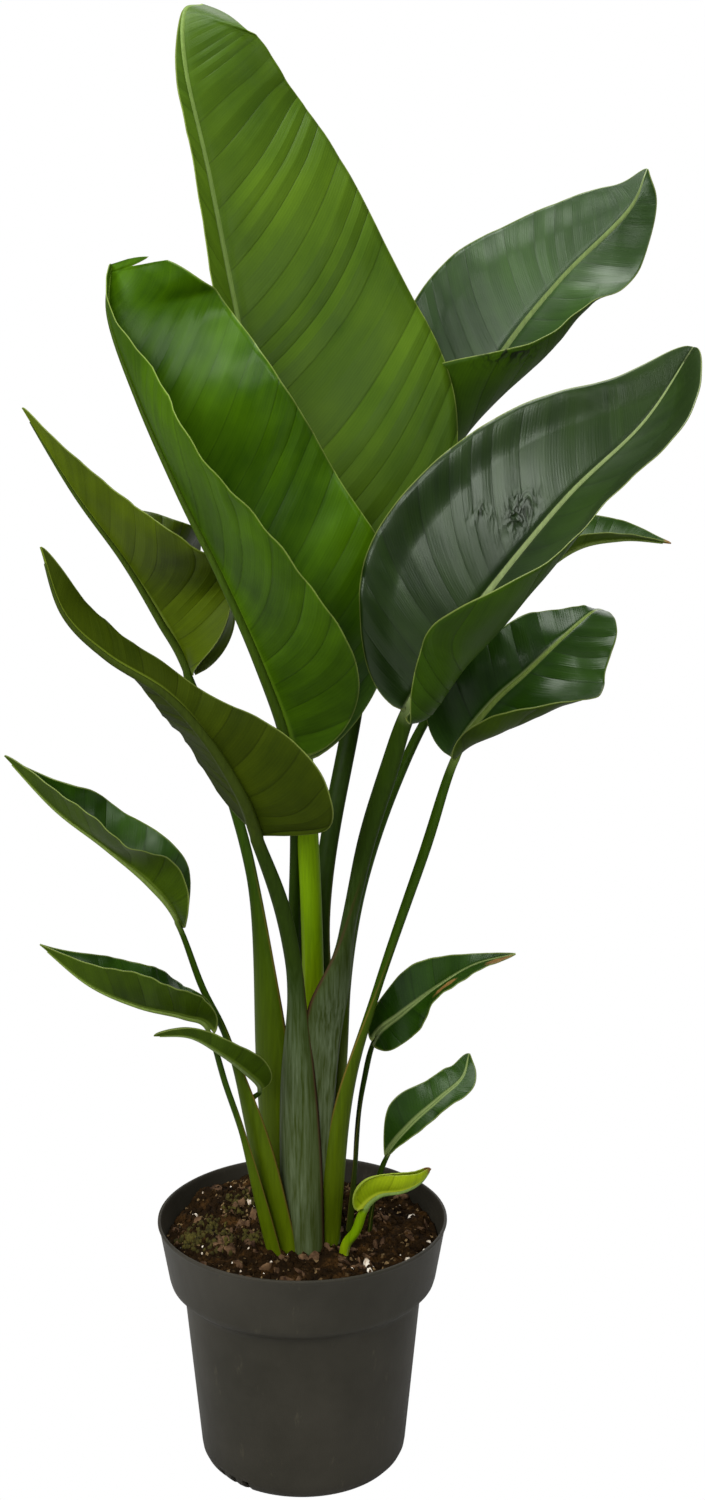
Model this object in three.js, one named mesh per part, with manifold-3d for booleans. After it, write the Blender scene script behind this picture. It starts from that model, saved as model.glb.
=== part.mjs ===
// Potted giant white bird of paradise in a nursery pot.
// Millimetres, +Z up. The origin is the centre of the pot's flat underside, and -Y is the front.
import * as THREE from "three";
import { mergeVertices } from "three/addons/utils/BufferGeometryUtils.js";
import Module from "manifold-3d";

// ---- driving dimensions ----
const POT_HEIGHT = 216;
const RIM_RADIUS = 120;
const BASE_RADIUS = 80;
const WALL = 2;
const SOIL_LEVEL = 199;
const ROOT_LEVEL = 168; // the stalks stand this high in blind holes in the soil
const GAP = 0.35; // clearance between neighbouring pieces
const BLADE_THICKNESS = 0.9;

// ---- colours read off the plant ----
const COLOUR = {
  pot: "#3b3a33",
  soil: "#2b1f14",
  dark: "#23400f",
  mid: "#3c5a10",
  bright: "#4f7313",
  stalk: "#3d4f08",
  young: "#5f7a08",
};

// ---- the leaves, youngest first ----
// line   the upper side of stalk and midrib, from the root end to the tip
// neck   which point of the line is the blade's base
// face   where the upper side looks: at the root end, at the blade's base, at the tip
// sheath half width and half depth of the clasping foot, and the share of the stalk that it covers
// stem   half width and half depth of the stalk under the blade
// The next three are read at even steps from the blade's base to its tip, for the halves left and right
// of the midrib, seen from above with the tip up:
// half   reach of the rounded outline, where equal numbers draw an ellipse
// fold   degrees that the half rises from flat at the midrib
// curl   degrees that the half bends further on its way to the margin
// lobe   how far the blade's base hangs back past its joint, as a share of the half width
// wave   height of the margin's waves, and their number
const LEAVES = [
  {
    name: "tall_centre_leaf",
    tone: "bright",
    stalkTone: "young",
    line: [
      [4, 0, ROOT_LEVEL], [10, -3, 330], [12, -2, 440], [9, 2, 560], [0, 22, 690],
      [-21, 42, 822], [-46, 58, 936], [-70, 73, 1058], [-87, 90, 1132], [-90, 118, 1178],
      [-78, 156, 1188],
    ],
    neck: 4,
    face: [[0.5, -0.8, 0], [0.72, -0.68, 0.05], [0.35, -0.35, 0.87]],
    sheath: [16, 12, 0.3],
    stem: [9.5, 8.5],
    half: { left: [62, 100, 44, 17, 4, 3], right: [205, 202, 140, 104, 80, 80] },
    fold: { left: [45, 40, 24, 12, -20, 0], right: [45, 31, 23, 10, 10, 8] },
    curl: { left: [10, 5, 0], right: [-10, 0, 0] },
    lobe: 0.12,
    wave: [1, 3],
  },
  {
    name: "rolled_centre_leaf",
    tone: "mid",
    stalkTone: "stalk",
    line: [
      [-2, 8, ROOT_LEVEL], [-2, 12, 330], [-3, 11, 440], [1, 2, 560], [-6, -20, 625],
      [-26, -40, 690], [-53, -46, 755], [-86, -45, 823], [-116, -40, 890], [-138, -30, 950],
      [-138, -14, 988],
    ],
    neck: 4,
    face: [[0.3, -0.9, 0], [0.9, -0.2, 0.4], [0.9, -0.2, 0.4]],
    sheath: [18, 13, 0.35],
    stem: [6.5, 6],
    half: { left: [110, 112, 110, 108, 36, 24], right: [158, 146, 112, 107, 105, 160] },
    fold: { left: [81, 54, 30, 19, 20, 0], right: [60, 66, 70, 86, 80, 110] },
    curl: { left: [15, 20, 20], right: [5, 5, 5] },
    lobe: 0.15,
    wave: [3, 3.5],
  },
  {
    name: "right_back_leaf",
    tone: "dark",
    stalkTone: "stalk",
    line: [
      [13, 12, ROOT_LEVEL], [15, 16, 330], [15, 34, 480], [36, 78, 604], [58, 134, 695],
      [105, 174, 808], [165, 194, 908], [216, 200, 972], [271, 202, 1028], [287, 203, 1062],
    ],
    neck: 4,
    face: [[-0.5, -0.8, 0], [-0.4, -0.85, 0.2], [-0.4, -0.8, 0.3]],
    sheath: [20, 14, 0.4],
    stem: [8, 7],
    half: { left: [82, 90, 86, 48, 15], right: [110, 152, 118, 78, 34, 17] },
    fold: { left: [25, 10, 5], right: [10, 24, 7, 0, -33, 30] },
    curl: { left: [10, -5, -5], right: [200, 230, 112, 77, 10, 0] },
    lobe: 0.2,
    wave: [2, 3],
  },
  {
    name: "right_front_leaf",
    tone: "dark",
    stalkTone: "stalk",
    line: [
      [13, -8, ROOT_LEVEL], [18, -12, 330], [27, -16, 430], [45, -26, 530], [67, -44, 608],
      [83, -60, 660], [111, -75, 707], [143, -80, 754], [200, -75, 823], [256, -58, 875],
      [295, -30, 928],
    ],
    neck: 5,
    face: [[-0.3, 0.95, 0], [-0.4, -0.85, 0.2], [-0.3, -0.85, 0.3]],
    sheath: [21, 15, 0.48],
    stem: [8, 7.2],
    half: { left: [88, 98, 92, 66, 36], right: [116, 95, 135, 72, 77, 50] },
    fold: { left: [25, 15, 5], right: [-35, -10, 25, 30, 40, 45] },
    curl: { left: [0, -5, -5], right: [160, 195, 95, 45, 20, 0] },
    lobe: 0.05,
    wave: [2, 3],
  },
  {
    name: "upper_left_leaf",
    tone: "mid",
    stalkTone: "stalk",
    line: [
      [-13, 6, ROOT_LEVEL], [-20, 11, 330], [-34, 18, 483], [-55, 30, 576], [-87, 38, 670],
      [-109, 30, 713], [-136, 19, 762], [-173, 13, 815], [-212, 13, 880],
    ],
    neck: 4,
    face: [[0.6, 0.75, 0], [0.75, 0.3, 0.55], [0.75, 0.3, 0.55]],
    sheath: [20, 13, 0.62],
    stem: [5.5, 5],
    half: { left: [82, 75, 83, 43, 25], right: [91, 109, 56, 25, 12] },
    fold: { left: [-25, 43, 18, 26, 12], right: [95, 42, 70, 15, 10] },
    curl: { left: [20, 20, 10, 0, 0], right: [10, 5, 0, 0, 0] },
    lobe: 0.05,
    wave: [2, 3],
  },
  {
    name: "lower_left_leaf",
    tone: "mid",
    stalkTone: "stalk",
    line: [
      [2, -16, ROOT_LEVEL], [1, -22, 330], [-1, -28, 420], [-11, -42, 495], [-30, -60, 561],
      [-41, -80, 599], [-65, -100, 646], [-95, -115, 684], [-136, -125, 713],
      [-166, -130, 745], [-182, -125, 792],
    ],
    neck: 4,
    face: [[0.53, 0.85, 0], [0.35, 0.75, 0.55], [0.35, 0.75, 0.55]],
    sheath: [22, 16, 0.6],
    stem: [7, 6],
    half: { left: [132, 98, 25, 21, 38, 15], right: [99, 71, 27, 45, 20] },
    fold: { left: [-14, -5, 21, 67, 89, 48], right: [21, 24, 6, 60, 50] },
    curl: { left: [10, 10, 40, 30, 10], right: [10, 10, 20, 30, 10] },
    lobe: 0,
    wave: [2, 3],
  },
  {
    name: "hidden_right_leaf",
    tone: "mid",
    stalkTone: "stalk",
    line: [
      [18, 4, ROOT_LEVEL], [24, 4, 330], [31, 4, 420], [51, 4, 518], [78, 10, 596],
      [110, 25, 655], [157, 45, 716], [212, 60, 762], [256, 65, 772], [297, 65, 768],
    ],
    neck: 5,
    face: [[-0.6, 0.75, 0], [-0.2, -0.3, 0.95], [-0.2, -0.1, 0.97]],
    sheath: [12, 11, 0.5],
    stem: [5, 4.5],
    half: { left: [36, 36, 27, 20, 8], right: [30, 28, 12, 12, 5] },
    fold: { left: [50, 45, 30], right: [50, 45, 30] },
    curl: { left: [10, 10, 10], right: [10, 10, 10] },
    lobe: 0.2,
    wave: [2, 2],
  },
  {
    name: "right_low_leaf",
    tone: "dark",
    stalkTone: "stalk",
    line: [
      [17, -12, ROOT_LEVEL], [31, -16, 315], [60, -18, 424], [97, -18, 536], [121, -15, 611],
      [147, -20, 652], [176, -20, 680], [203, -10, 704], [228, 10, 721], [239, 32, 720],
    ],
    neck: 4,
    face: [[-0.6, 0.75, 0], [-0.35, -0.8, 0.4], [-0.2, -0.7, 0.6]],
    sheath: [15, 10, 0.45],
    stem: [4.5, 4],
    half: { left: [75, 67, 42, 31, 12, 8], right: [57, 81, 82, 48, 32, 6] },
    fold: { left: [11, 29, 23, 5, 0], right: [9, -23, -15, -21, -7, 0] },
    curl: { left: [10, 5, 0], right: [143, 168, 101, 30, 6, 0] },
    lobe: 0.02,
    wave: [2, 3],
  },
  {
    name: "left_side_leaf",
    tone: "mid",
    stalkTone: "stalk",
    line: [
      [-7, -20, ROOT_LEVEL], [-34, -27, 300], [-57, -34, 385], [-75, -42, 432],
      [-93, -50, 489], [-115, -60, 522], [-148, -68, 554], [-185, -70, 584], [-223, -65, 624],
    ],
    neck: 4,
    face: [[0.6, 0.75, 0], [0.4, 0, 0.9], [0.4, 0, 0.9]],
    sheath: [13, 9, 0.42],
    stem: [3.5, 3.2],
    half: { left: [38, 36, 47, 32, 14], right: [39, 38, 31, 28, 4] },
    fold: { left: [0, 52, 24, 44, 50], right: [35, 85, 50, 85, 80] },
    curl: { left: [10, 10, 0, 0, 0], right: [10, 10, 10] },
    lobe: 0.15,
    wave: [2.5, 2.5],
  },
  {
    name: "left_low_leaf",
    tone: "mid",
    stalkTone: "stalk",
    line: [
      [-15, -30, ROOT_LEVEL], [-42, -40, 291], [-57, -50, 351], [-70, -60, 403],
      [-90, -70, 417], [-124, -80, 429], [-161, -85, 448], [-198, -85, 480],
    ],
    neck: 3,
    face: [[0.6, 0.75, 0], [0.25, 0, 0.95], [0.25, 0, 0.95]],
    sheath: [7, 6, 0.35],
    stem: [3, 2.8],
    half: { left: [17, 33, 37, 28, 6], right: [33, 40, 34, 32, 6] },
    fold: { left: [46, 51, 50, 60, 61], right: [43, 20, 43, 40, 80] },
    curl: { left: [10, 10, 10], right: [10, 10, 10] },
    lobe: 0.15,
    wave: [2, 2.5],
  },
  {
    name: "left_small_leaf",
    tone: "mid",
    stalkTone: "stalk",
    line: [
      [-12, -6, ROOT_LEVEL], [-28, -14, 263], [-39, -28, 325], [-32, -38, 344],
      [-43, -58, 366], [-61, -76, 388], [-84, -85, 405], [-112, -88, 407],
    ],
    neck: 3,
    face: [[0.8, -0.3, 0.3], [0.4, 0.3, 0.8], [0.25, 0.2, 0.93]],
    sheath: [5, 4.5, 0.3],
    stem: [2.2, 2],
    half: { left: [22, 21, 16, 12, 10], right: [20, 16, 13, 10, 9] },
    fold: { left: [40, 40, 40], right: [40, 40, 40] },
    curl: { left: [20, 20, 20], right: [20, 20, 20] },
    lobe: 0.1,
    wave: [1, 2],
  },
  {
    name: "right_side_leaf",
    tone: "dark",
    stalkTone: "stalk",
    line: [
      [34, 8, ROOT_LEVEL], [44, 16, 285], [50, 18, 328], [60, 12, 368], [80, 0, 392],
      [112, -10, 421], [140, -15, 440], [172, -15, 449],
    ],
    neck: 3,
    face: [[-0.9, 0.2, 0.2], [-0.3, -0.8, 0.4], [-0.2, -0.85, 0.4]],
    sheath: [6, 5, 0.35],
    stem: [2.5, 2.3],
    half: { left: [24, 24, 28, 11, 5], right: [40, 24, 25, 19, 6] },
    fold: { left: [0, 38, 0], right: [9, 0, 58, 59, 45] },
    curl: { left: [0, 0, 0], right: [0, 0, 0] },
    lobe: 0.2,
    wave: [1.5, 2.5],
  },
  {
    name: "right_small_leaf",
    tone: "dark",
    stalkTone: "stalk",
    line: [
      [52, 4, ROOT_LEVEL], [58, 3, 230], [70, 0, 270], [89, -6, 299], [113, -10, 324],
      [131, -6, 340], [137, 4, 357],
    ],
    neck: 2,
    face: [[-0.9, 0.2, 0.2], [-0.3, -0.8, 0.5], [-0.3, -0.8, 0.5]],
    sheath: [4.5, 4, 0.3],
    stem: [2.5, 2.2],
    half: { left: [10, 27, 18, 17, 12], right: [16, 13, 12, 15, 7] },
    fold: { left: [39, 22, 18], right: [41, 8, 20] },
    curl: { left: [5, 0, 0], right: [15, 5, 0] },
    lobe: 0.1,
    wave: [1.5, 2],
  },
  {
    name: "curled_young_leaf",
    tone: "bright",
    stalkTone: "young",
    line: [
      [31, -38, ROOT_LEVEL], [34, -46, 208], [42, -54, 228], [49, -58, 250], [62, -62, 264],
      [81, -66, 269], [95, -64, 275], [104, -58, 283],
    ],
    neck: 3,
    face: [[-0.5, -0.5, 0.2], [-0.3, -0.4, 0.9], [-0.3, -0.4, 0.9]],
    sheath: [5, 4.5, 0.3],
    stem: [4.5, 4],
    half: { left: [22, 24, 20, 15, 11], right: [22, 22, 18, 13, 10] },
    fold: { left: [70, 60, 50], right: [70, 60, 50] },
    curl: { left: [60, 60, 60], right: [60, 60, 60] },
    lobe: 0.2,
    wave: [0.5, 2],
  },
];

const wasm = await Module();
wasm.setup();

// ---- from three.js geometry to a manifold solid and back ----
function toSolid(geometry) {
  const bare = geometry.clone();
  bare.deleteAttribute("normal");
  bare.deleteAttribute("uv");
  const merged = mergeVertices(bare, 1e-4);
  return new wasm.Manifold(
    new wasm.Mesh({
      numProp: 3,
      vertProperties: merged.attributes.position.array,
      triVerts: new Uint32Array(merged.index.array),
    }),
  );
}

function toGeometry(solid) {
  const mesh = solid.getMesh();
  const positions = new Float32Array(mesh.numVert * 3);
  for (let i = 0; i < mesh.numVert; i++) {
    const start = i * mesh.numProp;
    positions.set(mesh.vertProperties.subarray(start, start + 3), i * 3);
  }
  const geometry = new THREE.BufferGeometry();
  geometry.setAttribute("position", new THREE.BufferAttribute(positions, 3));
  geometry.setIndex(new THREE.BufferAttribute(mesh.triVerts, 1));
  geometry.computeVertexNormals();
  return geometry;
}

// The largest body that a cut leaves: slivers are dropped.
function largest(solid) {
  return solid.decompose().reduce((best, body) => (body.volume() > best.volume() ? body : best));
}

// ---- small shared formulas ----
const radians = THREE.MathUtils.degToRad;
const smoothstep = THREE.MathUtils.smoothstep;

// The value at u, from 0 to 1, of a smooth run through evenly spaced stations.
function along(stations, u) {
  return curveOf(stations.map((value) => [value, 0, 0])).getPoint(u).x;
}

// A curve through the points, even in its parameter from point to point.
function curveOf(points) {
  return new THREE.CatmullRomCurve3(points.map((p) => new THREE.Vector3(...p)), false, "catmullrom", 0.5);
}

function isLarge(leaf) {
  return Math.max(...leaf.half.left) > 50;
}

// Point, direction, face and side of a leaf at t, from 0 at the root end to 1 at the tip.
function frameAt(leaf, t) {
  const neck = leaf.neck / (leaf.line.length - 1);
  const [root, base, tip] = leaf.face.map((f) => new THREE.Vector3(...f).normalize());
  const ahead = leaf.curve.getTangent(t);
  const face = t < neck
    ? root.clone().lerp(base, smoothstep(t / neck, 0, 1))
    : base.clone().lerp(tip, (t - neck) / (1 - neck));
  face.addScaledVector(ahead, -face.dot(ahead)).normalize();
  const side = new THREE.Vector3().crossVectors(ahead, face);
  return { at: leaf.curve.getPoint(t), ahead, face, side };
}

// ---- blade ----
const BLADE_STEPS = { large: [16, 4], small: [10, 3] }; // along the midrib, and across each half
const TIP_WIDTH = 1.5; // the outline ends this narrow, so that no face collapses

// Distance from the midrib to the margin at u, from 0 at the base to 1 at the tip.
function halfWidth(leaf, hand, u) {
  const reach = along(leaf.half[hand < 0 ? "left" : "right"], u);
  return Math.max(TIP_WIDTH, 2 * Math.sqrt(Math.max(0, u * (1 - u))) * reach);
}

// A point of the blade: u along the midrib, s across from -1 (left margin) to 1, lift above the mid surface.
function bladePoint(leaf, u, s, lift) {
  const neck = leaf.neck / (leaf.line.length - 1);
  const { at, ahead, face, side } = frameAt(leaf, neck + u * (1 - neck));
  const hand = s < 0 ? -1 : 1;
  const width = halfWidth(leaf, hand, u);
  const fold = radians(along(leaf.fold[s < 0 ? "left" : "right"], u));
  const curl = radians(along(leaf.curl[s < 0 ? "left" : "right"], u)) || 1e-4;
  const reach = Math.abs(s);
  const turned = fold + curl * reach;
  const out = (width / curl) * (Math.sin(turned) - Math.sin(fold));
  const up = (width / curl) * (Math.cos(fold) - Math.cos(turned));
  const [waveHeight, waves] = leaf.wave;
  const ripple = waveHeight * reach ** 2 * Math.sin(2 * Math.PI * waves * u + hand) * Math.sin(Math.PI * u);
  const back = leaf.lobe * Math.max(...leaf.half[s < 0 ? "left" : "right"]) * reach ** 2 * (1 - u) ** 6;
  const normal = face.clone().multiplyScalar(Math.cos(turned)).addScaledVector(side, -hand * Math.sin(turned));
  return at
    .addScaledVector(side, hand * out)
    .addScaledVector(face, up)
    .addScaledVector(ahead, -back)
    .addScaledVector(normal, ripple + lift);
}

// A closed sheet: the same grid of triangles above and below, joined round the edge.
function bladeSolid(leaf, thickness = BLADE_THICKNESS) {
  const [rows, across] = BLADE_STEPS[isLarge(leaf) ? "large" : "small"];
  const columns = 2 * across;
  const positions = [];
  for (const lift of [thickness / 2, -thickness / 2]) {
    for (let i = 0; i <= rows; i++) {
      const even = i / rows;
      const u = even - 0.09 * Math.sin(2 * Math.PI * even);
      for (let j = 0; j <= columns; j++) {
        positions.push(...bladePoint(leaf, u, j / across - 1, lift).toArray());
      }
    }
  }
  const under = (rows + 1) * (columns + 1);
  const id = (i, j) => i * (columns + 1) + j;
  const triangles = [];
  const quad = (a, b, c, d) => triangles.push(a, b, c, a, c, d);
  for (let i = 0; i < rows; i++) {
    for (let j = 0; j < columns; j++) {
      const [a, b, c, d] = [id(i, j), id(i, j + 1), id(i + 1, j + 1), id(i + 1, j)];
      quad(a, b, c, d);
      triangles.push(under + a, under + c, under + b, under + a, under + d, under + c);
    }
    for (const [p, q] of [[id(i + 1, 0), id(i, 0)], [id(i, columns), id(i + 1, columns)]]) {
      quad(p, under + p, under + q, q);
    }
  }
  for (let j = 0; j < columns; j++) {
    for (const [p, q] of [[id(0, j), id(0, j + 1)], [id(rows, j + 1), id(rows, j)]]) {
      quad(p, under + p, under + q, q);
    }
  }
  const geometry = new THREE.BufferGeometry();
  geometry.setAttribute("position", new THREE.Float32BufferAttribute(positions, 3));
  geometry.setIndex(triangles);
  return toSolid(geometry);
}

// ---- stalk: clasping foot, petiole and the midrib under the blade, in one ----
const STALK_STEPS = {
  large: { sides: 12, below: 11, under: 9 },
  small: { sides: 8, below: 7, under: 6 },
};
const RIB_END = 0.93; // the midrib runs out into the blade here
const RIB_TIP = 0.7; // its half width there

// Half width, half depth, groove and set-back of the stalk's section at t.
function sectionAt(leaf, t) {
  const neck = leaf.neck / (leaf.line.length - 1);
  const [stemWidth, stemDepth] = leaf.stem;
  if (t >= neck) {
    const run = (t - neck) / (1 - neck);
    const share = (1 - run) ** 0.8;
    const width = RIB_TIP + (0.8 * stemWidth - RIB_TIP) * share;
    const depth = RIB_TIP + (0.8 * stemDepth - RIB_TIP) * share;
    return { width, depth, groove: 0.3, back: depth + BLADE_THICKNESS / 2 + GAP };
  }
  const [footWidth, footDepth, footShare] = leaf.sheath;
  const run = t / neck;
  const foot = 1 - smoothstep(run, footShare - 0.25, footShare + 0.08);
  const thin = 1 - 0.2 * smoothstep(run, 0.75, 1);
  const width = thin * (stemWidth + (footWidth - stemWidth) * foot);
  const depth = thin * (stemDepth + (footDepth - stemDepth) * foot);
  const neckBack = 0.8 * stemDepth + BLADE_THICKNESS / 2 + GAP;
  return { width, depth, groove: 0.3 + 1.1 * foot, back: neckBack * run };
}

// The section is a gutter: round below, and flat to deeply hollow on the upper side.
function sectionPoints({ width, depth, groove }, sides, grow) {
  const points = [];
  for (let i = 0; i < sides; i++) {
    const angle = (2 * Math.PI * i) / sides;
    const round = Math.sin(angle);
    points.push(new THREE.Vector2(width * Math.cos(angle), depth * round * (round > 0 ? 1 - groove : 1)));
  }
  if (!grow) return points;
  return points.map((p, i) => {
    const before = p.clone().sub(points[(i + sides - 1) % sides]).normalize();
    const after = points[(i + 1) % sides].clone().sub(p).normalize();
    const outward = new THREE.Vector2(before.y + after.y, -before.x - after.x).normalize();
    const mitre = Math.max(0.5, Math.abs(outward.x * after.y - outward.y * after.x));
    return p.clone().addScaledVector(outward, grow / mitre);
  });
}

function stalkSolid(leaf, grow = 0) {
  const neck = leaf.neck / (leaf.line.length - 1);
  const { sides, below, under } = STALK_STEPS[isLarge(leaf) ? "large" : "small"];
  const stations = [];
  for (let i = 0; i <= below; i++) stations.push((neck * i) / below);
  for (let i = 1; i <= under; i++) stations.push(neck + ((1 - neck) * RIB_END * i) / under);
  const positions = [];
  for (const t of stations) {
    const { at, ahead, face, side } = frameAt(leaf, t);
    const section = sectionAt(leaf, t);
    if (t === 0) at.addScaledVector(ahead, -grow);
    for (const p of sectionPoints(section, sides, grow)) {
      positions.push(...at.clone().addScaledVector(side, p.x).addScaledVector(face, p.y - section.back).toArray());
    }
  }
  const triangles = [];
  const last = (stations.length - 1) * sides;
  for (let i = 0; i < last; i += sides) {
    for (let j = 0; j < sides; j++) {
      const [a, b] = [i + j, i + ((j + 1) % sides)];
      triangles.push(a, b + sides, b, a, a + sides, b + sides);
    }
  }
  for (const [end, first] of [[0, true], [last, false]]) {
    const section = sectionPoints(sectionAt(leaf, first ? 0 : 1), sides, 0);
    for (const [a, b, c] of THREE.ShapeUtils.triangulateShape(section, [])) {
      triangles.push(end + a, end + (first ? b : c), end + (first ? c : b));
    }
  }
  const geometry = new THREE.BufferGeometry();
  geometry.setAttribute("position", new THREE.Float32BufferAttribute(positions, 3));
  geometry.setIndex(triangles);
  return toSolid(geometry);
}

// ---- pot ----
const POT_SEGMENTS = 48;
const COLLAR_FOOT = 168; // the wide collar runs from here up to the rim
const COLLAR_RADIUS = 111.5;
const NECK_RADIUS = 99;

const DRAINS = { count: 6, radius: 6, circle: 52 }; // round holes in the floor
const SLOTS = { groups: [228, 48], pitch: 9, width: 8, height: 7 }; // threes of low slots in the wall's foot

function lathe(profile) {
  const points = profile.map(([r, z]) => new THREE.Vector2(r, z));
  return toSolid(new THREE.LatheGeometry(points, POT_SEGMENTS).rotateX(Math.PI / 2));
}

function potSolid() {
  const outside = [
    [0, 0], [BASE_RADIUS - 9, 0], [BASE_RADIUS - 4.5, 1.2], [BASE_RADIUS, 4], [BASE_RADIUS + 3.5, 7.5],
    [BASE_RADIUS + 5.5, 12],
    [NECK_RADIUS, COLLAR_FOOT - 17], [NECK_RADIUS + 2.5, COLLAR_FOOT - 11], [COLLAR_RADIUS - 2.5, COLLAR_FOOT - 3],
    [COLLAR_RADIUS, COLLAR_FOOT + 2], [RIM_RADIUS - 1, POT_HEIGHT - 3], [RIM_RADIUS, POT_HEIGHT - 1.5],
    [RIM_RADIUS - 0.6, POT_HEIGHT],
  ];
  const inside = [
    [RIM_RADIUS - 2.4, POT_HEIGHT], [RIM_RADIUS - 1 - WALL, POT_HEIGHT - 3], [COLLAR_RADIUS - WALL, COLLAR_FOOT + 3],
    [COLLAR_RADIUS - 4, COLLAR_FOOT - 2], [NECK_RADIUS + 1, COLLAR_FOOT - 10], [NECK_RADIUS - WALL, COLLAR_FOOT - 17],
    [BASE_RADIUS + 5.5 - WALL, 13], [BASE_RADIUS + 1, 8], [BASE_RADIUS - 5, WALL + 1.6], [BASE_RADIUS - 11, WALL + 0.5],
    [0, WALL + 0.5],
  ];
  const cutters = [];
  for (let i = 0; i < DRAINS.count; i++) {
    const angle = (2 * Math.PI * i) / DRAINS.count;
    const hole = new THREE.CylinderGeometry(DRAINS.radius, DRAINS.radius, 10, 16).rotateX(Math.PI / 2);
    cutters.push(hole.translate(DRAINS.circle * Math.cos(angle), DRAINS.circle * Math.sin(angle), 0));
  }
  for (const group of SLOTS.groups) {
    for (const step of [-1, 0, 1]) {
      const slot = new THREE.BoxGeometry(24, SLOTS.width, 2 * SLOTS.height).translate(BASE_RADIUS + 2, 0, 0);
      cutters.push(slot.rotateZ(radians(group + step * SLOTS.pitch)));
    }
  }
  return cutters.reduce((pot, cutter) => pot.subtract(toSolid(cutter)), lathe([...outside, ...inside]));
}

// ---- soil ----
const SOIL_SEGMENTS = 36;
const SOIL_RINGS = [16, 32, 48, 62, 76, 90, 103, 113];
const CLODS = 26;
const CLOD_SEED = 11;

// A small repeatable source of random numbers from 0 to 1.
function randomFrom(seed) {
  let state = seed;
  return () => {
    state = (state * 1664525 + 1013904223) % 4294967296;
    return state / 4294967296;
  };
}

const clods = (() => {
  const random = randomFrom(CLOD_SEED);
  return Array.from({ length: CLODS }, () => {
    const angle = 2 * Math.PI * random();
    const out = 30 + 78 * Math.sqrt(random());
    return { x: out * Math.cos(angle), y: out * Math.sin(angle), rise: 2 + 6 * random(), size: 7 + 9 * random() };
  });
})();

function soilHeight(x, y) {
  const mound = 5 * Math.exp(-((x * x + y * y) / (45 * 45)));
  const lumps = clods.reduce(
    (sum, c) => sum + c.rise * Math.exp(-((x - c.x) ** 2 + (y - c.y) ** 2) / c.size ** 2),
    0,
  );
  return SOIL_LEVEL + mound + Math.min(lumps, 9) - 3;
}

function soilSolid(cutters) {
  const top = SOIL_SEGMENTS;
  const side = [
    [113.5 - GAP, SOIL_LEVEL - 5], [COLLAR_RADIUS - WALL - 1 - GAP, COLLAR_FOOT + 3],
    [COLLAR_RADIUS - 5 - GAP, COLLAR_FOOT - 1], [NECK_RADIUS - GAP, COLLAR_FOOT - 9],
    [NECK_RADIUS - WALL - 1 - GAP, COLLAR_FOOT - 17], [BASE_RADIUS + 1 - GAP, 11.5], [BASE_RADIUS - 12, WALL + 1.2],
  ];
  const positions = [0, 0, soilHeight(0, 0)];
  const rings = [];
  for (const r of SOIL_RINGS) rings.push({ r, z: null });
  for (const [r, z] of side) rings.push({ r, z });
  for (const { r, z } of rings) {
    for (let j = 0; j < top; j++) {
      const angle = (2 * Math.PI * j) / top;
      const [x, y] = [r * Math.cos(angle), r * Math.sin(angle)];
      positions.push(x, y, z ?? soilHeight(x, y));
    }
  }
  const lastCentre = 1 + rings.length * top;
  positions.push(0, 0, WALL + 1.2);
  const triangles = [];
  for (let j = 0; j < top; j++) {
    const next = (j + 1) % top;
    triangles.push(0, 1 + j, 1 + next);
    for (let i = 0; i < rings.length - 1; i++) {
      const a = 1 + i * top;
      const b = a + top;
      triangles.push(a + j, b + j, b + next, a + j, b + next, a + next);
    }
    const foot = 1 + (rings.length - 1) * top;
    triangles.push(foot + next, foot + j, lastCentre);
  }
  const geometry = new THREE.BufferGeometry();
  geometry.setAttribute("position", new THREE.Float32BufferAttribute(positions, 3));
  geometry.setIndex(triangles);
  return largest(cutters.reduce((soil, cutter) => soil.subtract(cutter), toSolid(geometry)));
}

// ---- assembly ----
function meshOf(name, solid, colour, roughness) {
  const material = new THREE.MeshStandardMaterial({ color: colour, roughness, metalness: 0 });
  const mesh = new THREE.Mesh(toGeometry(solid), material);
  mesh.name = name;
  return mesh;
}

const plant = new THREE.Group();
plant.add(meshOf("pot", potSolid(), COLOUR.pot, 0.6));

const younger = []; // grown stalks that the older, outer ones clasp
for (const leaf of LEAVES) {
  leaf.curve = curveOf(leaf.line);
  const stalk = largest(younger.reduce((solid, cutter) => solid.subtract(cutter), stalkSolid(leaf)));
  younger.push(stalkSolid(leaf, GAP));
  plant.add(meshOf(`${leaf.name}_stalk`, stalk, COLOUR[leaf.stalkTone], 0.45));
  plant.add(meshOf(`${leaf.name}_blade`, bladeSolid(leaf), COLOUR[leaf.tone], 0.35));
}
plant.add(meshOf("soil", soilSolid(younger), COLOUR.soil, 0.95));

export default plant;
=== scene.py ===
import math
import random

import bmesh
import bpy
from mathutils import Matrix, Vector, noise


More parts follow.
